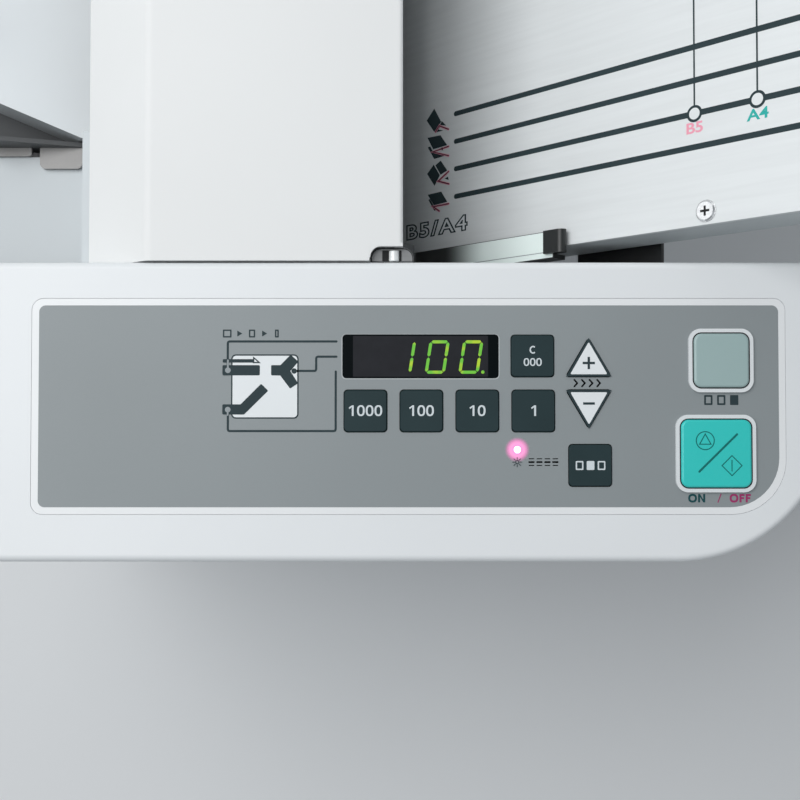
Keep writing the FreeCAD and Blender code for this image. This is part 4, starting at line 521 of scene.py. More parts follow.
def lettering(name, words, x, y, size, material, bold=0.1, wide=1.25):
    """Plain characters on the first fold plate, centred on a place."""
    text = bpy.data.curves.new(name, "FONT")
    text.body = words
    text.size = size
    text.align_x = "CENTER"
    text.align_y = "CENTER"
    text.offset = bold
    text.extrude = FILM / 2
    piece = as_mesh(name, bpy.data.objects.new(name, text))
    corners = [v.co for v in piece.data.vertices]
    middle_x = (min(c.x for c in corners) + max(c.x for c in corners)) / 2
    middle_y = (min(c.y for c in corners) + max(c.y for c in corners)) / 2
    piece.data.transform(Matrix.Translation((-middle_x, -middle_y, 0)))
    piece.data.transform(Matrix.Diagonal((wide, 1, 1, 1)))
    piece.data.transform(Matrix.Translation((x, y, FILM / 2)))
    return settle(piece, material, "fold_plate_1", PLATE_FRAME)


def printed(name, loops, material, level=None):
    """A thin print on the console, on its overlay unless a level is given."""
    low = OVERLAY_LEVEL if level is None else level
    return cut_film(name, loops, low, low + FILM, material, "machine", CONSOLE_FRAME)


def printed_on(node, name, loops, material, rise=0.0):
    """A thin print on the top of a key, which moves with it."""
    low = node_top(node) + rise
    return cut_film(name, loops, low, low + FILM, material, node, CONSOLE_FRAME)


# the console's panel

OVERLAY_LEVEL = corners_of("console_overlay")[1].z - CONSOLE_TOP
OVERLAY_EDGE = (-109.05, 114.27, -74.17, -13.27)
OVERLAY_ROUND = 2.0
OVERLAY_BIG_ROUND = 15.0
KEY_SLACK = 0.25
KEY_HOLE_ROUND = 1.3
BEZEL_HOLE_ROUND = 3.9
BEZEL_REACH = 1.45
LAMP_HOLE = 1.6
BUTTONS = ("test_button", "start_button")
SPEED_KEYS = ("key_speed_up", "key_speed_down")
SQUARE_KEYS = ("key_1000", "key_100", "key_10", "key_1", "key_clear", "key_mode")


def node_middle(name):
    """A node's middle in the console's own frame, with its half sizes."""
    low, high = corners_of(name)
    middle = (low + high) / 2
    half = (high - low) / 2
    return middle.x - VIEW_X, middle.y - CONSOLE_REAR, half.x, half.y


def node_top(name):
    return corners_of(name)[1].z - CONSOLE_TOP


def key_loop(name, more, radius):
    x, y, half_x, half_y = node_middle(name)
    return block(x, y, half_x + more, half_y + more, radius)


def arrow_loop(name, more, turn=0.8):
    """The outline of a three-cornered speed key, widened by more."""
    x, y, half_x, half_y = node_middle(name)
    sign = 1 if name == "key_speed_up" else -1
    wide = half_x + more * 1.8
    corners = [
        (x - wide, y - sign * (half_y + more), turn),
        (x + wide, y - sign * (half_y + more), turn),
        (x, y + sign * (half_y + more * 1.8), turn),
    ]
    return rounded(corners)


def make_panel():
    left, right, front, rear = OVERLAY_EDGE
    edge = rounded(
        [
            (left, front, OVERLAY_ROUND),
            (right, front, OVERLAY_BIG_ROUND),
            (right, rear, OVERLAY_ROUND),
            (left, rear, OVERLAY_ROUND),
        ],
        12,
    )
    holes = [key_loop(name, KEY_SLACK, KEY_HOLE_ROUND) for name in SQUARE_KEYS]
    holes += [arrow_loop(name, KEY_SLACK) for name in SPEED_KEYS]
    holes += [key_loop(name, BEZEL_REACH, BEZEL_HOLE_ROUND) for name in BUTTONS]
    holes.append(key_loop("display_window", 0.0, 0.9))
    holes.append(circle(LAMP_X, LAMP_Y, LAMP_HOLE))
    printed("panel_field", [edge, *holes], "overlay_grey")
    make_key_tops()
    make_display()
    make_lamp()
    make_speed_marks()
    make_button_marks()
    make_machine_map()


KEY_WORDS = {"key_1000": "1000", "key_100": "100", "key_10": "10", "key_1": "1"}

# printed numbers and letters, each as outlines in a box one unit high
ZERO_WIDTH = 0.735
ZERO_SPACE = 0.085
ONE_WIDTH = 0.47
ONE_SPACE = 0.31
WEIGHT = 0.18


def egg(x, y, half_x, half_y, steps=32):
    """A round-cornered oval, a little squarer than an ellipse."""
    loop = []
    for n in range(steps):
        angle = 2 * pi * n / steps
        c, r = cos(angle), sin(angle)
        swell = (abs(c) ** 2.4 + abs(r) ** 2.4) ** (-1 / 2.4)
        loop.append((x + half_x * c * swell, y + half_y * r * swell))
    return loop


def glyph(letter, weight=WEIGHT):
    """The outlines of a letter one unit high, its width, and the space after it."""
    if letter == "0":
        half = ZERO_WIDTH / 2
        outer = egg(half, 0.5, half, 0.515)
        inner = egg(half, 0.5, half - weight, 0.515 - weight * 0.85)
        return [outer, inner], ZERO_WIDTH, ZERO_SPACE
    if letter == "1":
        stem = ONE_WIDTH - weight
        flag = [(0.07, 0.65), (stem, 0.83), (stem, 0), (ONE_WIDTH, 0), (ONE_WIDTH, 1), (stem + 0.03, 1)]
        return [[(0.0, 0.78), *flag]], ONE_WIDTH, ONE_SPACE
    if letter == "O":
        return [egg(0.52, 0.5, 0.52, 0.52), egg(0.52, 0.5, 0.52 - weight, 0.52 - weight)], 1.04, 0.14
    if letter == "N":
        wide = 0.86
        points = [(0, 0), (weight, 0), (weight, 0.66), (wide - weight, 0), (wide, 0), (wide, 1)]
        points += [(wide - weight, 1), (wide - weight, 0.34), (weight, 1), (0, 1)]
        return [points], wide, 0.16
    if letter == "F":
        wide = 0.62
        low, high = 0.4, 0.4 + weight * 0.9
        points = [(0, 0), (weight, 0), (weight, low), (wide * 0.9, low), (wide * 0.9, high), (weight, high)]
        points += [(weight, 1 - weight), (wide, 1 - weight), (wide, 1), (0, 1)]
        return [points], wide, 0.13
    if letter == "C":
        points = []
        for n in range(19):
            angle = radians(50 + n * 260 / 18)
            points.append((0.46 + (0.46 - weight / 2) * cos(angle), 0.5 + (0.52 - weight / 2) * sin(angle)))
        return [stroke(points, weight, True)], 0.82, 0.14
    raise KeyError(letter)


def word_loops(word, x, y, high, weight=WEIGHT):
    """The outlines of a word centred on a place."""
    shapes = [glyph(letter, weight) for letter in word]
    total = sum(wide + space for loops, wide, space in shapes) - shapes[-1][2]
    pen = x - total * high / 2
    placed = []
    for loops, wide, space in shapes:
        placed += [[(pen + px * high, y + (py - 0.5) * high) for px, py in loop] for loop in loops]
        pen += (wide + space) * high
    return placed


def make_key_tops():
    """Legends on the dark keys: plain numbers, and a generic sign on the mode key."""
    for name, word in KEY_WORDS.items():
        x, y = node_middle(name)[:2]
        printed_on(name, name + "_number", word_loops(word, x, y + 0.1, 3.2), "print_pale")
    x, y = node_middle("key_clear")[:2]
    loops = word_loops("C", x, y + 1.85, 2.3) + word_loops("000", x, y - 1.85, 2.3)
    printed_on("key_clear", "key_clear_sign", loops, "print_pale")
    x, y = node_middle("key_mode")[:2]
    sheets = []
    for shift in (-3.3, 0, 3.3):
        sheets += sheet_sign(x + shift, y, 1.15, 1.35, 0.4, 0.3, filled=shift == 0)
    printed_on("key_mode", "key_mode_sign", sheets, "print_pale")


# the four-digit display

DIGIT_PITCH = 10.16
DIGIT_HEIGHT = 10.1
DIGIT_WIDTH = 5.2
DIGIT_SLANT = 0.155
SEGMENT = 0.92
SEGMENT_GAP = 0.13
LAST_DIGIT_X = 21.4
DIGITS_Y = -28.9
DOT_X = 25.0
DOT_RADIUS = 0.5
FACE_HALF = 20.4
LIT = {"1": "bc", "0": "abcdef"}


def segment_loop(letter):
    """One bar of a seven-bar digit, centred on the digit's middle, with pointed ends."""
    half_w = DIGIT_WIDTH / 2
    half_h = DIGIT_HEIGHT / 2 - SEGMENT / 2
    ends = {
        "a": ((-half_w, half_h), (half_w, half_h)),
        "b": ((half_w, half_h), (half_w, 0)),
        "c": ((half_w, 0), (half_w, -half_h)),
        "d": ((-half_w, -half_h), (half_w, -half_h)),
        "e": ((-half_w, 0), (-half_w, -half_h)),
        "f": ((-half_w, half_h), (-half_w, 0)),
    }[letter]
    start, end = Vector(ends[0]), Vector(ends[1])
    along = (end - start).normalized()
    side = Vector((-along.y, along.x)) * SEGMENT / 2
    start += along * SEGMENT_GAP
    end -= along * SEGMENT_GAP
    near = along * SEGMENT / 2
    corners = (start, start + near + side, end - near + side, end, end - near - side, start + near - side)
    return [(p.x + p.y * DIGIT_SLANT, p.y) for p in corners]


def make_display():
    x, y, half_x, half_y = node_middle("display_window")
    top = node_top("display_window")
    face = oblong(x - FACE_HALF, x + FACE_HALF, y - half_y + 0.5, y + half_y - 0.45, 0.2)
    printed("display_face", [face], "window_face", top)
    rim = [
        oblong(x - half_x - 0.28, x + half_x + 0.28, y - half_y - 0.28, y + half_y + 0.12, 1.4),
        block(x, y, half_x, half_y, 1.2),
    ]
    printed("display_rim", rim, "window_rim", OVERLAY_LEVEL + FILM)
    bars = []
    for place, digit in enumerate("100", start=-2):
        shift = LAST_DIGIT_X + place * DIGIT_PITCH
        for letter in LIT[digit]:
            bars.append([(px + shift, py + DIGITS_Y) for px, py in segment_loop(letter)])
    bars.append(circle(DOT_X, DIGITS_Y - DIGIT_HEIGHT / 2 + DOT_RADIUS, DOT_RADIUS, 20))
    printed("display_digits", bars, "led_green", top + FILM)


# the indicator lamp, the sun sign below it and a row of bars beside that

LAMP_X = 35.3
LAMP_Y = -56.86
HALO = 3.9
HALO_FULL = 1.9
HALO_POWER = 1.7
LAMP_SIGN_Y = -60.6
ROW_X = 43.2
ROW_BAR = 0.7


def halo_material():
    """Pink light that thins out from the lamp's middle."""
    material, tree, shader = new_material("lamp_halo")
    place = tree.nodes.new("ShaderNodeNewGeometry").outputs["Position"]
    distance = tree.nodes.new("ShaderNodeVectorMath")
    distance.operation = "DISTANCE"
    distance.inputs[1].default_value = CONSOLE_FRAME @ Vector((LAMP_X * MM, LAMP_Y * MM, 0))
    tree.links.new(place, distance.inputs[0])
    fade = step(tree, distance.outputs["Value"], HALO, HALO_FULL)
    tree.links.new(calculated(tree, "POWER", fade, HALO_POWER), shader.inputs["Alpha"])
    shader.inputs["Base Color"].default_value = (0.3, 0.06, 0.15, 1)
    shader.inputs["Emission Color"].default_value = (1, 0.42, 0.76, 1)
    shader.inputs["Emission Strength"].default_value = 0.78
    return material


def make_lamp():
    MATERIALS["halo"] = halo_material()
    halo = [circle(LAMP_X, LAMP_Y, HALO, 48), circle(LAMP_X, LAMP_Y, 1.0)]
    printed("lamp_halo", halo, "halo", OVERLAY_LEVEL + 2 * FILM)
    lens_level = node_top("control_board")
    printed("lamp_lens", [circle(LAMP_X, LAMP_Y, 1.05)], "led_core", lens_level)
    printed("lamp_rim", ring(LAMP_X, LAMP_Y, 1.45, 1.0), "led_pink", lens_level)
    rays = ring(LAMP_X, LAMP_SIGN_Y, 0.62, 0.38, 20)
    for n in range(8):
        angle = n * pi / 4
        reach = [(LAMP_X + cos(angle) * r, LAMP_SIGN_Y + sin(angle) * r) for r in (0.85, 1.4)]
        rays.append(stroke(reach, 0.22))
    printed("lamp_sign", rays, "print_dark", OVERLAY_LEVEL + 3 * FILM)
    marks = []
    for shift in (-3.6, -1.2, 1.2, 3.6):
        x = ROW_X + shift
        for up, width in ((0, 0.55), (-1, 0.3), (1, 0.3)):
            y = LAMP_SIGN_Y + up
            marks.append(stroke([(x - ROW_BAR, y), (x + ROW_BAR, y)], width))
    printed("lamp_program_sign", marks, "print_dark")


SIGN_ARM = 1.85
SIGN_HALF = 0.36
CHEVRONS_Y = -36.8


def make_speed_marks():
    """White faces with a plus and a minus on the two speed keys, and a row of chevrons between them."""
    for name, up in zip(SPEED_KEYS, (1, -1)):
        x, y = node_middle(name)[:2]
        printed_on(name, name + "_face", [arrow_loop(name, -0.66, 0.25)], "print_white")
        y -= up * 1.75
        sign = cross(x, y, SIGN_ARM, SIGN_HALF)
        if up < 0:
            sign = stroke([(x - 1.75, y), (x + 1.75, y)], 2 * SIGN_HALF, True)
        printed_on(name, name + "_sign", [sign], "print_dark", FILM)
    x = node_middle("key_speed_up")[0]
    signs = []
    for n in range(4):
        tip = x - 3.4 + n * 2.3
        points = [(tip - 0.9, CHEVRONS_Y + 1.0), (tip, CHEVRONS_Y), (tip - 0.9, CHEVRONS_Y - 1.0)]
        signs.append(stroke(points, 0.5))
    printed("speed_sign", signs, "print_dark")


# signs on the two buttons and below them

GROOVE = 0.3
RING_X, RING_Y, RING_RADIUS = 91.54, -54.12, 2.85
GEM_X, GEM_Y, GEM_REACH = 99.5, -61.6, 3.2
WORDS_Y = -71.45
WORD_HEIGHT = 2.5
WORD_WEIGHT = 0.24
TEST_SIGN_X, TEST_SIGN_Y = 96.9, -41.9


def button_print(sign, loops):
    # the grooves' painted shade
    printed_on("start_button", "start_" + sign, loops, "teal_groove_shade")


def triangle(x, half, low, high):
    return [(x - half, low), (x + half, low), (x, high)]


def make_button_marks():
    """Grooved signs on the start button, their grooves' shade painted in darker teal; painted shade as dark
    rings round both buttons; and signs below them.
    """
    level = node_top("button_bezels")
    for name in BUTTONS:
        # painted shade: a dark ring at the bezel's inner edge round each button
        gap = [key_loop(name, 0.34, 2.7), key_loop(name, -0.12, 2.3)]
        cut_film(name + "_gap", gap, level - FILM, level + FILM, "gap", "machine", CONSOLE_FRAME)
    button_print("ring", ring(RING_X, RING_Y, RING_RADIUS, RING_RADIUS - GROOVE, 40))
    outer = triangle(RING_X, 1.95, RING_Y - 1.2, RING_Y + 2.3)
    inner = triangle(RING_X, 1.45, RING_Y - 0.92, RING_Y + 1.7)
    button_print("triangle", [outer, inner])
    button_print("slash", [stroke([(89.7, -63.4), (101.1, -52.2)], 0.62)])
    gem = []
    for r in (GEM_REACH, GEM_REACH - GROOVE * 1.35):
        gem.append([(GEM_X, GEM_Y - r), (GEM_X + r, GEM_Y), (GEM_X, GEM_Y + r), (GEM_X - r, GEM_Y)])
    gem.append(stroke([(GEM_X, GEM_Y - 1.6), (GEM_X, GEM_Y + 1.6)], GROOVE))
    button_print("gem", gem)
    level = OVERLAY_LEVEL + FILM
    words = word_loops("ON", 89.3, WORDS_Y, WORD_HEIGHT, WORD_WEIGHT)
    printed("start_word_on", words, "print_teal", level)
    slash = stroke([(95.7, WORDS_Y - 1.2), (96.6, WORDS_Y + 1.2)], 0.3)
    printed("start_word_slash", [slash], "print_magenta", level)
    words = word_loops("OFF", 102.4, WORDS_Y, WORD_HEIGHT, WORD_WEIGHT)
    printed("start_word_off", words, "print_magenta", level)
    sign = []
    for shift in (-3.9, 0.0, 3.9):
        sign += sheet_sign(TEST_SIGN_X + shift, TEST_SIGN_Y, 1.25, 1.5, 0.53, 0.25, filled=shift > 0)
    printed("test_sign", sign, "print_dark", level)


# the small map of the machine on the panel

MAP_LINE = 0.66
MAP_TURN = 0.5
MAP_BORDER = 0.42
MAP_X, MAP_Y = -40.775, -37.81
MAP_HALF_X, MAP_HALF_Y = 10.175, 9.71
NODE_X = -51.95
TITLE_X, TITLE_Y = -52.2, -21.8
TITLE_STEP = 3.75


def map_line(points):
    """A map line with its bends rounded."""
    bent = [points[0]]
    for before, here, after in zip(points, points[1:], points[2:]):
        corner = Vector(here)
        back = (Vector(before) - corner).normalized() * MAP_TURN
        ahead = (Vector(after) - corner).normalized() * MAP_TURN
        bent += [tuple(corner + back), tuple(corner + (back + ahead) * 0.3), tuple(corner + ahead)]
    bent.append(points[-1])
    return stroke(bent, MAP_LINE)


def make_machine_map():
    """Paper path of a generic two-plate folder: tray, fork of plates and chute, with three leader lines."""
    level = OVERLAY_LEVEL + FILM
    outline = block(MAP_X, MAP_Y, MAP_HALF_X, MAP_HALF_Y, 1.4)
    face = block(MAP_X, MAP_Y, MAP_HALF_X - MAP_BORDER, MAP_HALF_Y - MAP_BORDER, 1.05)
    printed("map_outline", [outline, face], "print_dark", level)
    printed("map_face", [face], "print_white", level)
    lines = {
        "map_line_tray": [(-19.2, -24.2), (-52.0, -24.2), (-52.0, -32.0)],
        "map_line_plates": [(-31.2, -33.1), (-25.3, -33.1), (-25.3, -28.8), (-19.2, -28.8)],
        "map_line_exit": [(-51.9, -45.0), (-51.9, -51.25), (-19.4, -51.25), (-19.4, -33.3)],
    }
    for name, points in lines.items():
        printed(name, [map_line(points)], "print_dark", level)
    high = level + FILM
    printed("map_sheet", [oblong(-53.5, -43.6, -30.6, -29.55, 0.3)], "print_dark", high)
    head = [(-44.35, -28.7), (-42.0, -30.75), (-44.35, -30.75)]
    inside = [(-43.95, -29.5), (-43.0, -30.4), (-43.95, -30.4)]
    printed("map_arrow", [head, inside], "print_dark", high + FILM)
    printed("map_arrow_face", [inside], "print_white", high + FILM)
    printed("map_tray", [oblong(-53.58, -42.3, -34.46, -31.36, 0.4)], "print_dark", high)
    fork = rounded(
        [
            (-38.9, -31.36, 0.35), (-38.9, -34.46, 0.35), (-36.15, -34.5), (-33.15, -38.45, 0.3),
            (-30.75, -36.85, 0.25), (-33.1, -33.15), (-30.7, -30.3, 0.25), (-33.0, -28.2, 0.25),
            (-36.1, -31.36),
        ]
    )
    printed("map_fork", [fork], "print_dark", high)
    chute = rounded(
        [
            (-53.58, -43.2, 0.4), (-53.58, -46.28, 0.4), (-47.05, -46.28, 0.6), (-39.75, -39.1, 0.3),
            (-41.9, -37.0, 0.3), (-48.1, -43.2),
        ]
    )
    printed("map_chute", [chute], "print_dark", high)
    printed("map_plate_node", [circle(-31.95, -33.13, 0.82, 24)], "print_dark", high)
    for name, y, reach in (("tray", -32.9, 3.0), ("chute", -44.8, -1.6)):
        printed(f"map_{name}_node", [circle(NODE_X, y, 0.85, 24)], "print_grey", high + FILM)
        stem = stroke([(NODE_X, y), (NODE_X, y + reach)], 0.5)
        printed(f"map_{name}_stem", [stem], "print_grey", high + 2 * FILM)
    title = []
    for n in range(5):
        x = TITLE_X + n * TITLE_STEP
        if n % 2:
            title.append([(x - 0.7, TITLE_Y + 0.9), (x + 0.8, TITLE_Y), (x - 0.7, TITLE_Y - 0.9)])
        else:
            title += sheet_sign(x, TITLE_Y, 1.3 - n * 0.18, 1.2, MAP_BORDER, 0.2)
    printed("map_title_sign", title, "print_dark", level)


# the first fold plate

LINE_PLACES = (33.45, 43.5, 53.5, 63.6)
LINE_WIDTH = 1.8
LINE_START = 32.6
LINE_END = 355.0
MARK_LINE = LINE_PLACES[1]
RING_OUTER = 2.55
RING_INNER = 1.75
STEM_END = 180.0
SIZE_MARKS = (("b5", 129.4, "B5", "label_pink"), ("a4", 149.5, "A4", "label_teal"))
LABEL_BELOW = 4.2
LABEL_SIZE = 4.5


def on_plate(name, loops, material, level=0.0, body="fold_plate_1"):
    return cut_film(name, loops, level, level + FILM, material, body, PLATE_FRAME)


def make_plate_prints():
    """Scale lines with their ring marks, fold signs at the line starts and the two sheet sizes."""
    for n, y in enumerate(LINE_PLACES):
        on_plate(f"plate_line_{n}", [stroke([(LINE_START, y), (LINE_END, y)], LINE_WIDTH)], "print_dark")
    for name, x, words, colour in SIZE_MARKS:
        on_plate(f"plate_{name}_ring", ring(x, MARK_LINE, RING_OUTER, RING_INNER), "print_dark", FILM)
        on_plate(f"plate_{name}_eye", [circle(x, MARK_LINE, RING_INNER)], "plate", 2 * FILM)
        lettering(f"plate_{name}_label", words, x, MARK_LINE - LABEL_BELOW, LABEL_SIZE, colour)
        stem = stroke([(x, MARK_LINE + RING_OUTER), (x, STEM_END)], 0.5)
        on_plate(f"plate_{name}_stem", [stem], "print_dark", 2 * FILM)
    make_fold_signs()
    make_size_label()


# fold signs in the plate's own millimetres: the leaf on top, the leaf below it, the pink edge
FOLD_SIGNS = (
    (
        [(21.9, 67.7), (18.0, 64.0), (21.9, 59.0), (25.4, 62.1)],
        [(25.7, 62.3), (27.9, 60.2), (25.3, 60.9), (24.0, 59.5), (26.4, 58.7), (22.4, 58.7), (24.6, 60.9)],
        [(29.1, 58.6), (24.4, 60.8), (22.6, 58.9)],
    ),
    (
        [(18.4, 57.5), (25.0, 57.2), (28.4, 52.9), (21.3, 52.7)],
        [(18.5, 53.9), (19.8, 54.0), (21.1, 51.9), (27.1, 49.2), (21.8, 49.0)],
        [(29.1, 52.3), (21.2, 51.7), (29.1, 48.9)],
    ),
    (
        [(21.6, 46.9), (18.2, 44.0), (22.0, 39.0), (24.7, 42.5)],
        [(25.1, 47.8), (22.4, 46.5), (25.0, 42.6), (28.4, 43.6)],
        [(29.1, 43.1), (23.9, 40.4), (29.3, 38.5)],
    ),
    (
        [(18.5, 36.2), (25.4, 36.3), (28.4, 32.1), (21.6, 31.8)],
        [(18.8, 34.3), (19.7, 34.4), (21.4, 31.7), (23.3, 29.9), (21.8, 29.8)],
        [(29.1, 31.3), (21.3, 31.3), (24.4, 29.3)],
    ),
)


# a small dark wedge in two of the signs, from the middle point of their pink edge
WEDGE = ((3.3, 0.4), (4.9, 0.9), (5.2, -0.4))


def make_fold_signs():
    """Four small pictures of a folded sheet, each with a pink edge, one beside each line."""
    for n, (top, under, edge) in enumerate(FOLD_SIGNS):
        on_plate(f"fold_sign_{n}_under", [under], "print_dark")
        on_plate(f"fold_sign_{n}_top", [top], "print_dark", FILM)
        on_plate(f"fold_sign_{n}_glow", [stroke(edge, 0.85)], "label_pink", 2 * FILM)
        on_plate(f"fold_sign_{n}_edge", [stroke(edge, 0.42)], "print_wine", 3 * FILM)
        if n in (1, 2):
            x, y = edge[1]
            wedge = [(x + right, y + up) for right, up in WEDGE]
            on_plate(f"fold_sign_{n}_wedge", [wedge], "print_dark", 2 * FILM)


SIZE_LABEL_STRETCH = (1.38, 0.95, 0.1, 1)
SIZE_LABEL_PLACE = (7.0, 20.9, 0.0)


def make_size_label():
    """The two sheet sizes in outlined letters near the plate's front edge."""
    words = bpy.data.curves.new("size_label", "FONT")
    words.body = "B5/A4"
    words.size = 7.6
    words.fill_mode = "NONE"
    words.offset = 0.25
    words.bevel_depth = 0.26
    words.space_character = 1.22
    piece = as_mesh("plate_size_label", bpy.data.objects.new("plate_size_label", words))
    piece.data.transform(Matrix.Diagonal(SIZE_LABEL_STRETCH))
    piece.data.transform(Matrix.Translation(SIZE_LABEL_PLACE))
    settle(piece, "print_dark", "fold_plate_1", PLATE_FRAME)


SCREW_SPACING = 60


def make_plate_screws():
    """The countersunk screws of the first fold plate: painted shade as a dark cross on each head for its
    cross recess, in their pale rings.
    """
    inverse = PLATE_FRAME.inverted()
    groups = {}
    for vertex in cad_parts["fold_plate_1_screws"].data.vertices:
        point = inverse @ vertex.co / MM
        screw = (round(point.x / SCREW_SPACING), point.y > PLATE_DEPTH / 2)
        groups.setdefault(screw, []).append(point)
    for n, group in enumerate(groups.values()):
        x = (min(p.x for p in group) + max(p.x for p in group)) / 2
        y = (min(p.y for p in group) + max(p.y for p in group)) / 2
        top = max(p.z for p in group)
        # painted shade of the cross recess
        on_plate(f"plate_screw_cross_shade_{n}", [cross(x, y, 1.5, 0.35)], "gap", top)
        collar = ring(x, y, 3.3, 2.5)
        piece = f"plate_screw_ring_{n}"
        cut_film(piece, collar, 0.0, 0.3, "shaft", "fold_plate_1", PLATE_FRAME, bevel=0.1)


# the clamp levers

ARM_LEVEL = 2.8
ARM_FAR = 14.7
ARM_NEAR = 5.6
ARM_START = 20.0
ARM_END = 78.5
FOLD_INSET = 2.2
PIN_ALONG = 5.0
PIN_ABOVE = 6.0
SLEEVE_NEAR = 6.2
SLEEVE_LONG = 9.0
SLEEVE_RADIUS = 2.5
SLEEVE_HOLE = 1.9
CHAMFER = 0.3
GROOVE_DEPTH = 0.25
TURNED_STEPS = 40


def turned(name, profile, centre, body, matrix):
    """A polished piece turned about a line along Y, from (distance along, radius) points that close."""
    build = bmesh.new()
    rings = []
    for along, radius in profile:
        loop = []
        for n in range(TURNED_STEPS):
            angle = 2 * pi * n / TURNED_STEPS
            place = (centre[0] + radius * cos(angle), along, centre[1] + radius * sin(angle))
            loop.append(build.verts.new(place))
        rings.append(loop)
    for one, two in zip(rings, rings[1:] + rings[:1]):
        for n in range(TURNED_STEPS):
            after = (n + 1) % TURNED_STEPS
            build.faces.new((one[n], one[after], two[after], two[n]))
    bmesh.ops.recalc_face_normals(build, faces=build.faces)
    mesh = bpy.data.meshes.new(name)
    build.to_mesh(mesh)
    build.free()
    mesh.shade_smooth()
    mesh.set_sharp_from_angle(angle=SMOOTH_ANGLE)
    return settle(new_object(name, mesh), "sleeve", body, matrix)


def make_lever_sleeve(name, flip):
    """The sleeve on the lever's pin, with a chamfer at both ends and a groove."""
    groove = SLEEVE_LONG * 0.7
    bottom = SLEEVE_RADIUS - GROOVE_DEPTH
    profile = [
        (0, SLEEVE_HOLE),
        (0, SLEEVE_RADIUS - CHAMFER),
        (CHAMFER, SLEEVE_RADIUS),
        (groove, SLEEVE_RADIUS),
        (groove + 0.2, bottom),
        (groove + 0.7, bottom),
        (groove + 0.9, SLEEVE_RADIUS),
        (SLEEVE_LONG - CHAMFER, SLEEVE_RADIUS),
        (SLEEVE_LONG, SLEEVE_RADIUS - CHAMFER),
        (SLEEVE_LONG, SLEEVE_HOLE),
    ]
    profile = [(SLEEVE_NEAR + along, radius) for along, radius in profile]
    if flip:
        profile = [(PLATE_DEPTH - along, radius) for along, radius in profile]
    turned(f"lever_{name}_sleeve", profile, (PIN_ALONG, PIN_ABOVE), f"clamp_lever_{name}", PLATE_FRAME)


def make_lever_arms():
    """The bright strip on each lever's arm, painted shade as a grey line along the fold of its outer edge,
    and the sleeve.
    """
    for name, flip in (("front", False), ("rear", True)):
        body = f"clamp_lever_{name}"
        near, far = (PLATE_DEPTH - ARM_FAR, PLATE_DEPTH - ARM_NEAR) if flip else (ARM_NEAR, ARM_FAR)
        strip = oblong(ARM_START, ARM_END, near + 0.3, far - 0.2, 0.4)
        on_plate(f"lever_{name}_strip", [strip], "mint", ARM_LEVEL, body)
        edge = far - FOLD_INSET if flip else near + FOLD_INSET
        # painted shade: a grey line along the arm's fold
        fold = stroke([(ARM_START + 1, edge), (ARM_END - 1, edge)], 0.25)
        on_plate(f"lever_{name}_fold", [fold], "print_grey", ARM_LEVEL + FILM, body)
        make_lever_sleeve(name, flip)


# the steel corner pieces in the top cover's notches, each with a roller

COVER_TOP = 244.95
COVER_RIGHT = 107.9
CORNER_TOP = 241.8
CORNER_LEFT = 98.1
CORNER_RIGHT = 111.3
CORNER_FRONT = -170.8
CORNER_REAR = -166.6
CORNER_ROUND = 3.2
ROLLER_X = 105.3
ROLLER_RADIUS = 1.55
ROLLER_CHAMFER = 0.2
ROLLER_BORE = 0.5
MIRROR = 2 * CONSOLE_REAR + PLATE_DEPTH


def corner_outline(inset):
    left, right = CORNER_LEFT + inset, CORNER_RIGHT - inset
    rear = CORNER_REAR - inset
    turn = CORNER_ROUND - inset
    return rounded([(left, CORNER_FRONT), (right, CORNER_FRONT), (right, rear, turn), (left, rear, turn)])


def make_corner(name, flip):
    def film(part, loops, low, high, material, bevel=0.0):
        if flip:
            loops = [[(x, MIRROR - y) for x, y in loop] for loop in loops]
        piece = f"corner_{name}_{part}"
        cut_film(piece, loops, low, high, material, "top_cover", Matrix.Identity(4), bevel=bevel)

    centre = (CORNER_LEFT + CORNER_ROUND, CORNER_REAR - CORNER_ROUND)
    fillet = arc_points(centre, CORNER_ROUND, pi, pi / 2, 10)
    surround = [(97.0, CORNER_FRONT), *((x, max(y, CORNER_FRONT)) for x, y in fillet)]
    surround += [(COVER_RIGHT, CORNER_REAR), (COVER_RIGHT, -165.5), (97.0, -165.5)]
    film("surround", [surround], 243.6, COVER_TOP, "cover")
    film("plate", [corner_outline(0)], CORNER_TOP - 1.2, CORNER_TOP, "corner", 0.2)
    level = CORNER_TOP + FILM
    # painted shade: a near-black ring just inside the plate's edge, and near-black strips where its slots
    # would be open
    film("edge", [corner_outline(0.15), corner_outline(0.4)], CORNER_TOP, level, "gap")
    slot_shades = []
    for x0, x1 in ((101.7, 103.75), (106.85, 107.6)):
        slot_shades.append(oblong(x0, x1, CORNER_FRONT + 0.1, CORNER_REAR - 0.8, 0.2))
    film("slot_shades", slot_shades, level, level + FILM, "gap")
    front, rear = CORNER_FRONT, CORNER_REAR - 1.0
    end = ROLLER_RADIUS - ROLLER_CHAMFER
    profile = [(front, ROLLER_BORE), (front, end), (front + ROLLER_CHAMFER, ROLLER_RADIUS)]
    profile += [(rear - ROLLER_CHAMFER, ROLLER_RADIUS), (rear, end), (rear, ROLLER_BORE)]
    if flip:
        profile = [(MIRROR - y, radius) for y, radius in profile]
    roller = f"corner_{name}_roller"
    turned(roller, profile, (ROLLER_X, CORNER_TOP), "top_cover", Matrix.Identity(4))


# the feed table's brackets

FLANGE_SPLIT_X = -22.0
FLANGE_ROOT = 151.05
FLANGE_KEPT = 0.4


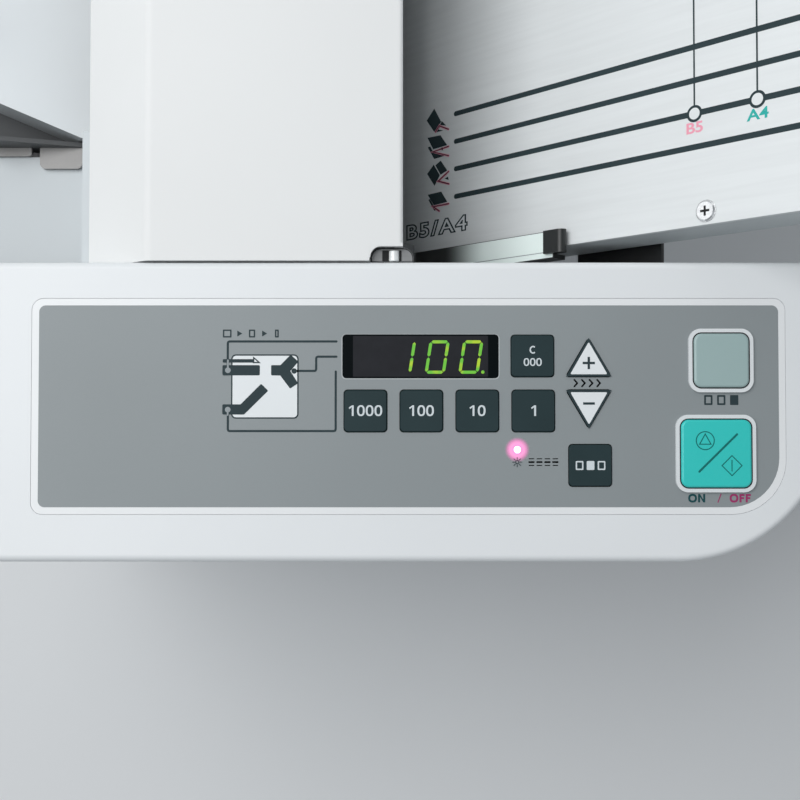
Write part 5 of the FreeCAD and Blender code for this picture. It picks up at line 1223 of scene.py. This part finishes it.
def make_brackets():
    """The table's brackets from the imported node, with their left flanges as narrow as a hem."""
    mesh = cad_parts["feed_table_brackets"].data.copy()
    mesh.name = "table_brackets"
    middle = MIRROR / 2
    for vertex in mesh.vertices:
        x, y = vertex.co.x / MM, vertex.co.y / MM
        reach = abs(y - middle) - FLANGE_ROOT
        if x < FLANGE_SPLIT_X and reach > 0.1:
            side = 1 if y > middle else -1
            vertex.co.y = (middle + side * (FLANGE_ROOT + reach * FLANGE_KEPT)) * MM
    piece = new_object("table_brackets", mesh)
    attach(piece, "machine")
    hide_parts("feed_table_brackets")


# studio and camera


def area_light(name, place, target, size, power, colour=(1, 1, 1)):
    data = bpy.data.lights.new(name, "AREA")
    data.shape = "RECTANGLE"
    data.size, data.size_y = size
    data.energy = power
    data.color = colour
    lamp = new_object(name, data)
    lamp.location = place
    lamp.rotation_euler = (Vector(target) - Vector(place)).to_track_quat("-Z", "Y").to_euler()


FLOOR_HALF = 9.0


def make_studio():
    mesh = bpy.data.meshes.new("floor")
    build = bmesh.new()
    bmesh.ops.create_grid(build, x_segments=8, y_segments=8, size=FLOOR_HALF)
    build.to_mesh(mesh)
    build.free()
    floor = new_object("floor", mesh)
    floor.data.materials.append(finish("floor_paper", (0.74, 0.755, 0.765), 0.8, 0.01, 2.0, 600.0, 0.01))
    world = bpy.data.worlds.new("studio")
    world.use_nodes = True
    sky = world.node_tree.nodes["Background"]
    sky.inputs["Color"].default_value = (0.9, 0.95, 1.0, 1)
    sky.inputs["Strength"].default_value = 0.32
    bpy.context.scene.world = world
    area_light("key_light", (-0.42, 0.12, 1.15), (0.05, -0.1, 0.2), (0.9, 0.9), 9.7)
    area_light("side_light", (-1.3, -0.1, 0.62), (0.0, -0.1, 0.22), (1.0, 0.6), 1.8)
    area_light("fill_light", (1.4, -1.3, 1.6), (0.1, -0.1, 0.2), (1.8, 1.8), 3.0, (0.93, 0.97, 1.0))
    area_light("back_light", (0.2, 1.7, 1.2), (0.1, 0.0, 0.25), (2.0, 1.0), 4.5)


def make_camera():
    data = bpy.data.cameras.new("camera")
    data.sensor_width = 36.0
    data.lens = LENS
    data.clip_start = 0.01
    data.clip_end = 20.0
    camera = new_object("camera", data)
    camera.location = Vector((VIEW_X, VIEW_Y, VIEW_HEIGHT)) * MM
    camera.rotation_euler = (radians(VIEW_TILT), 0, 0)
    bpy.context.scene.camera = camera
    bpy.context.scene.view_settings.view_transform = "Standard"


dress_nodes()
make_panel()
make_plate_prints()
make_plate_screws()
make_lever_arms()
make_corner("front", False)
make_corner("rear", True)
make_brackets()
make_studio()
make_camera()
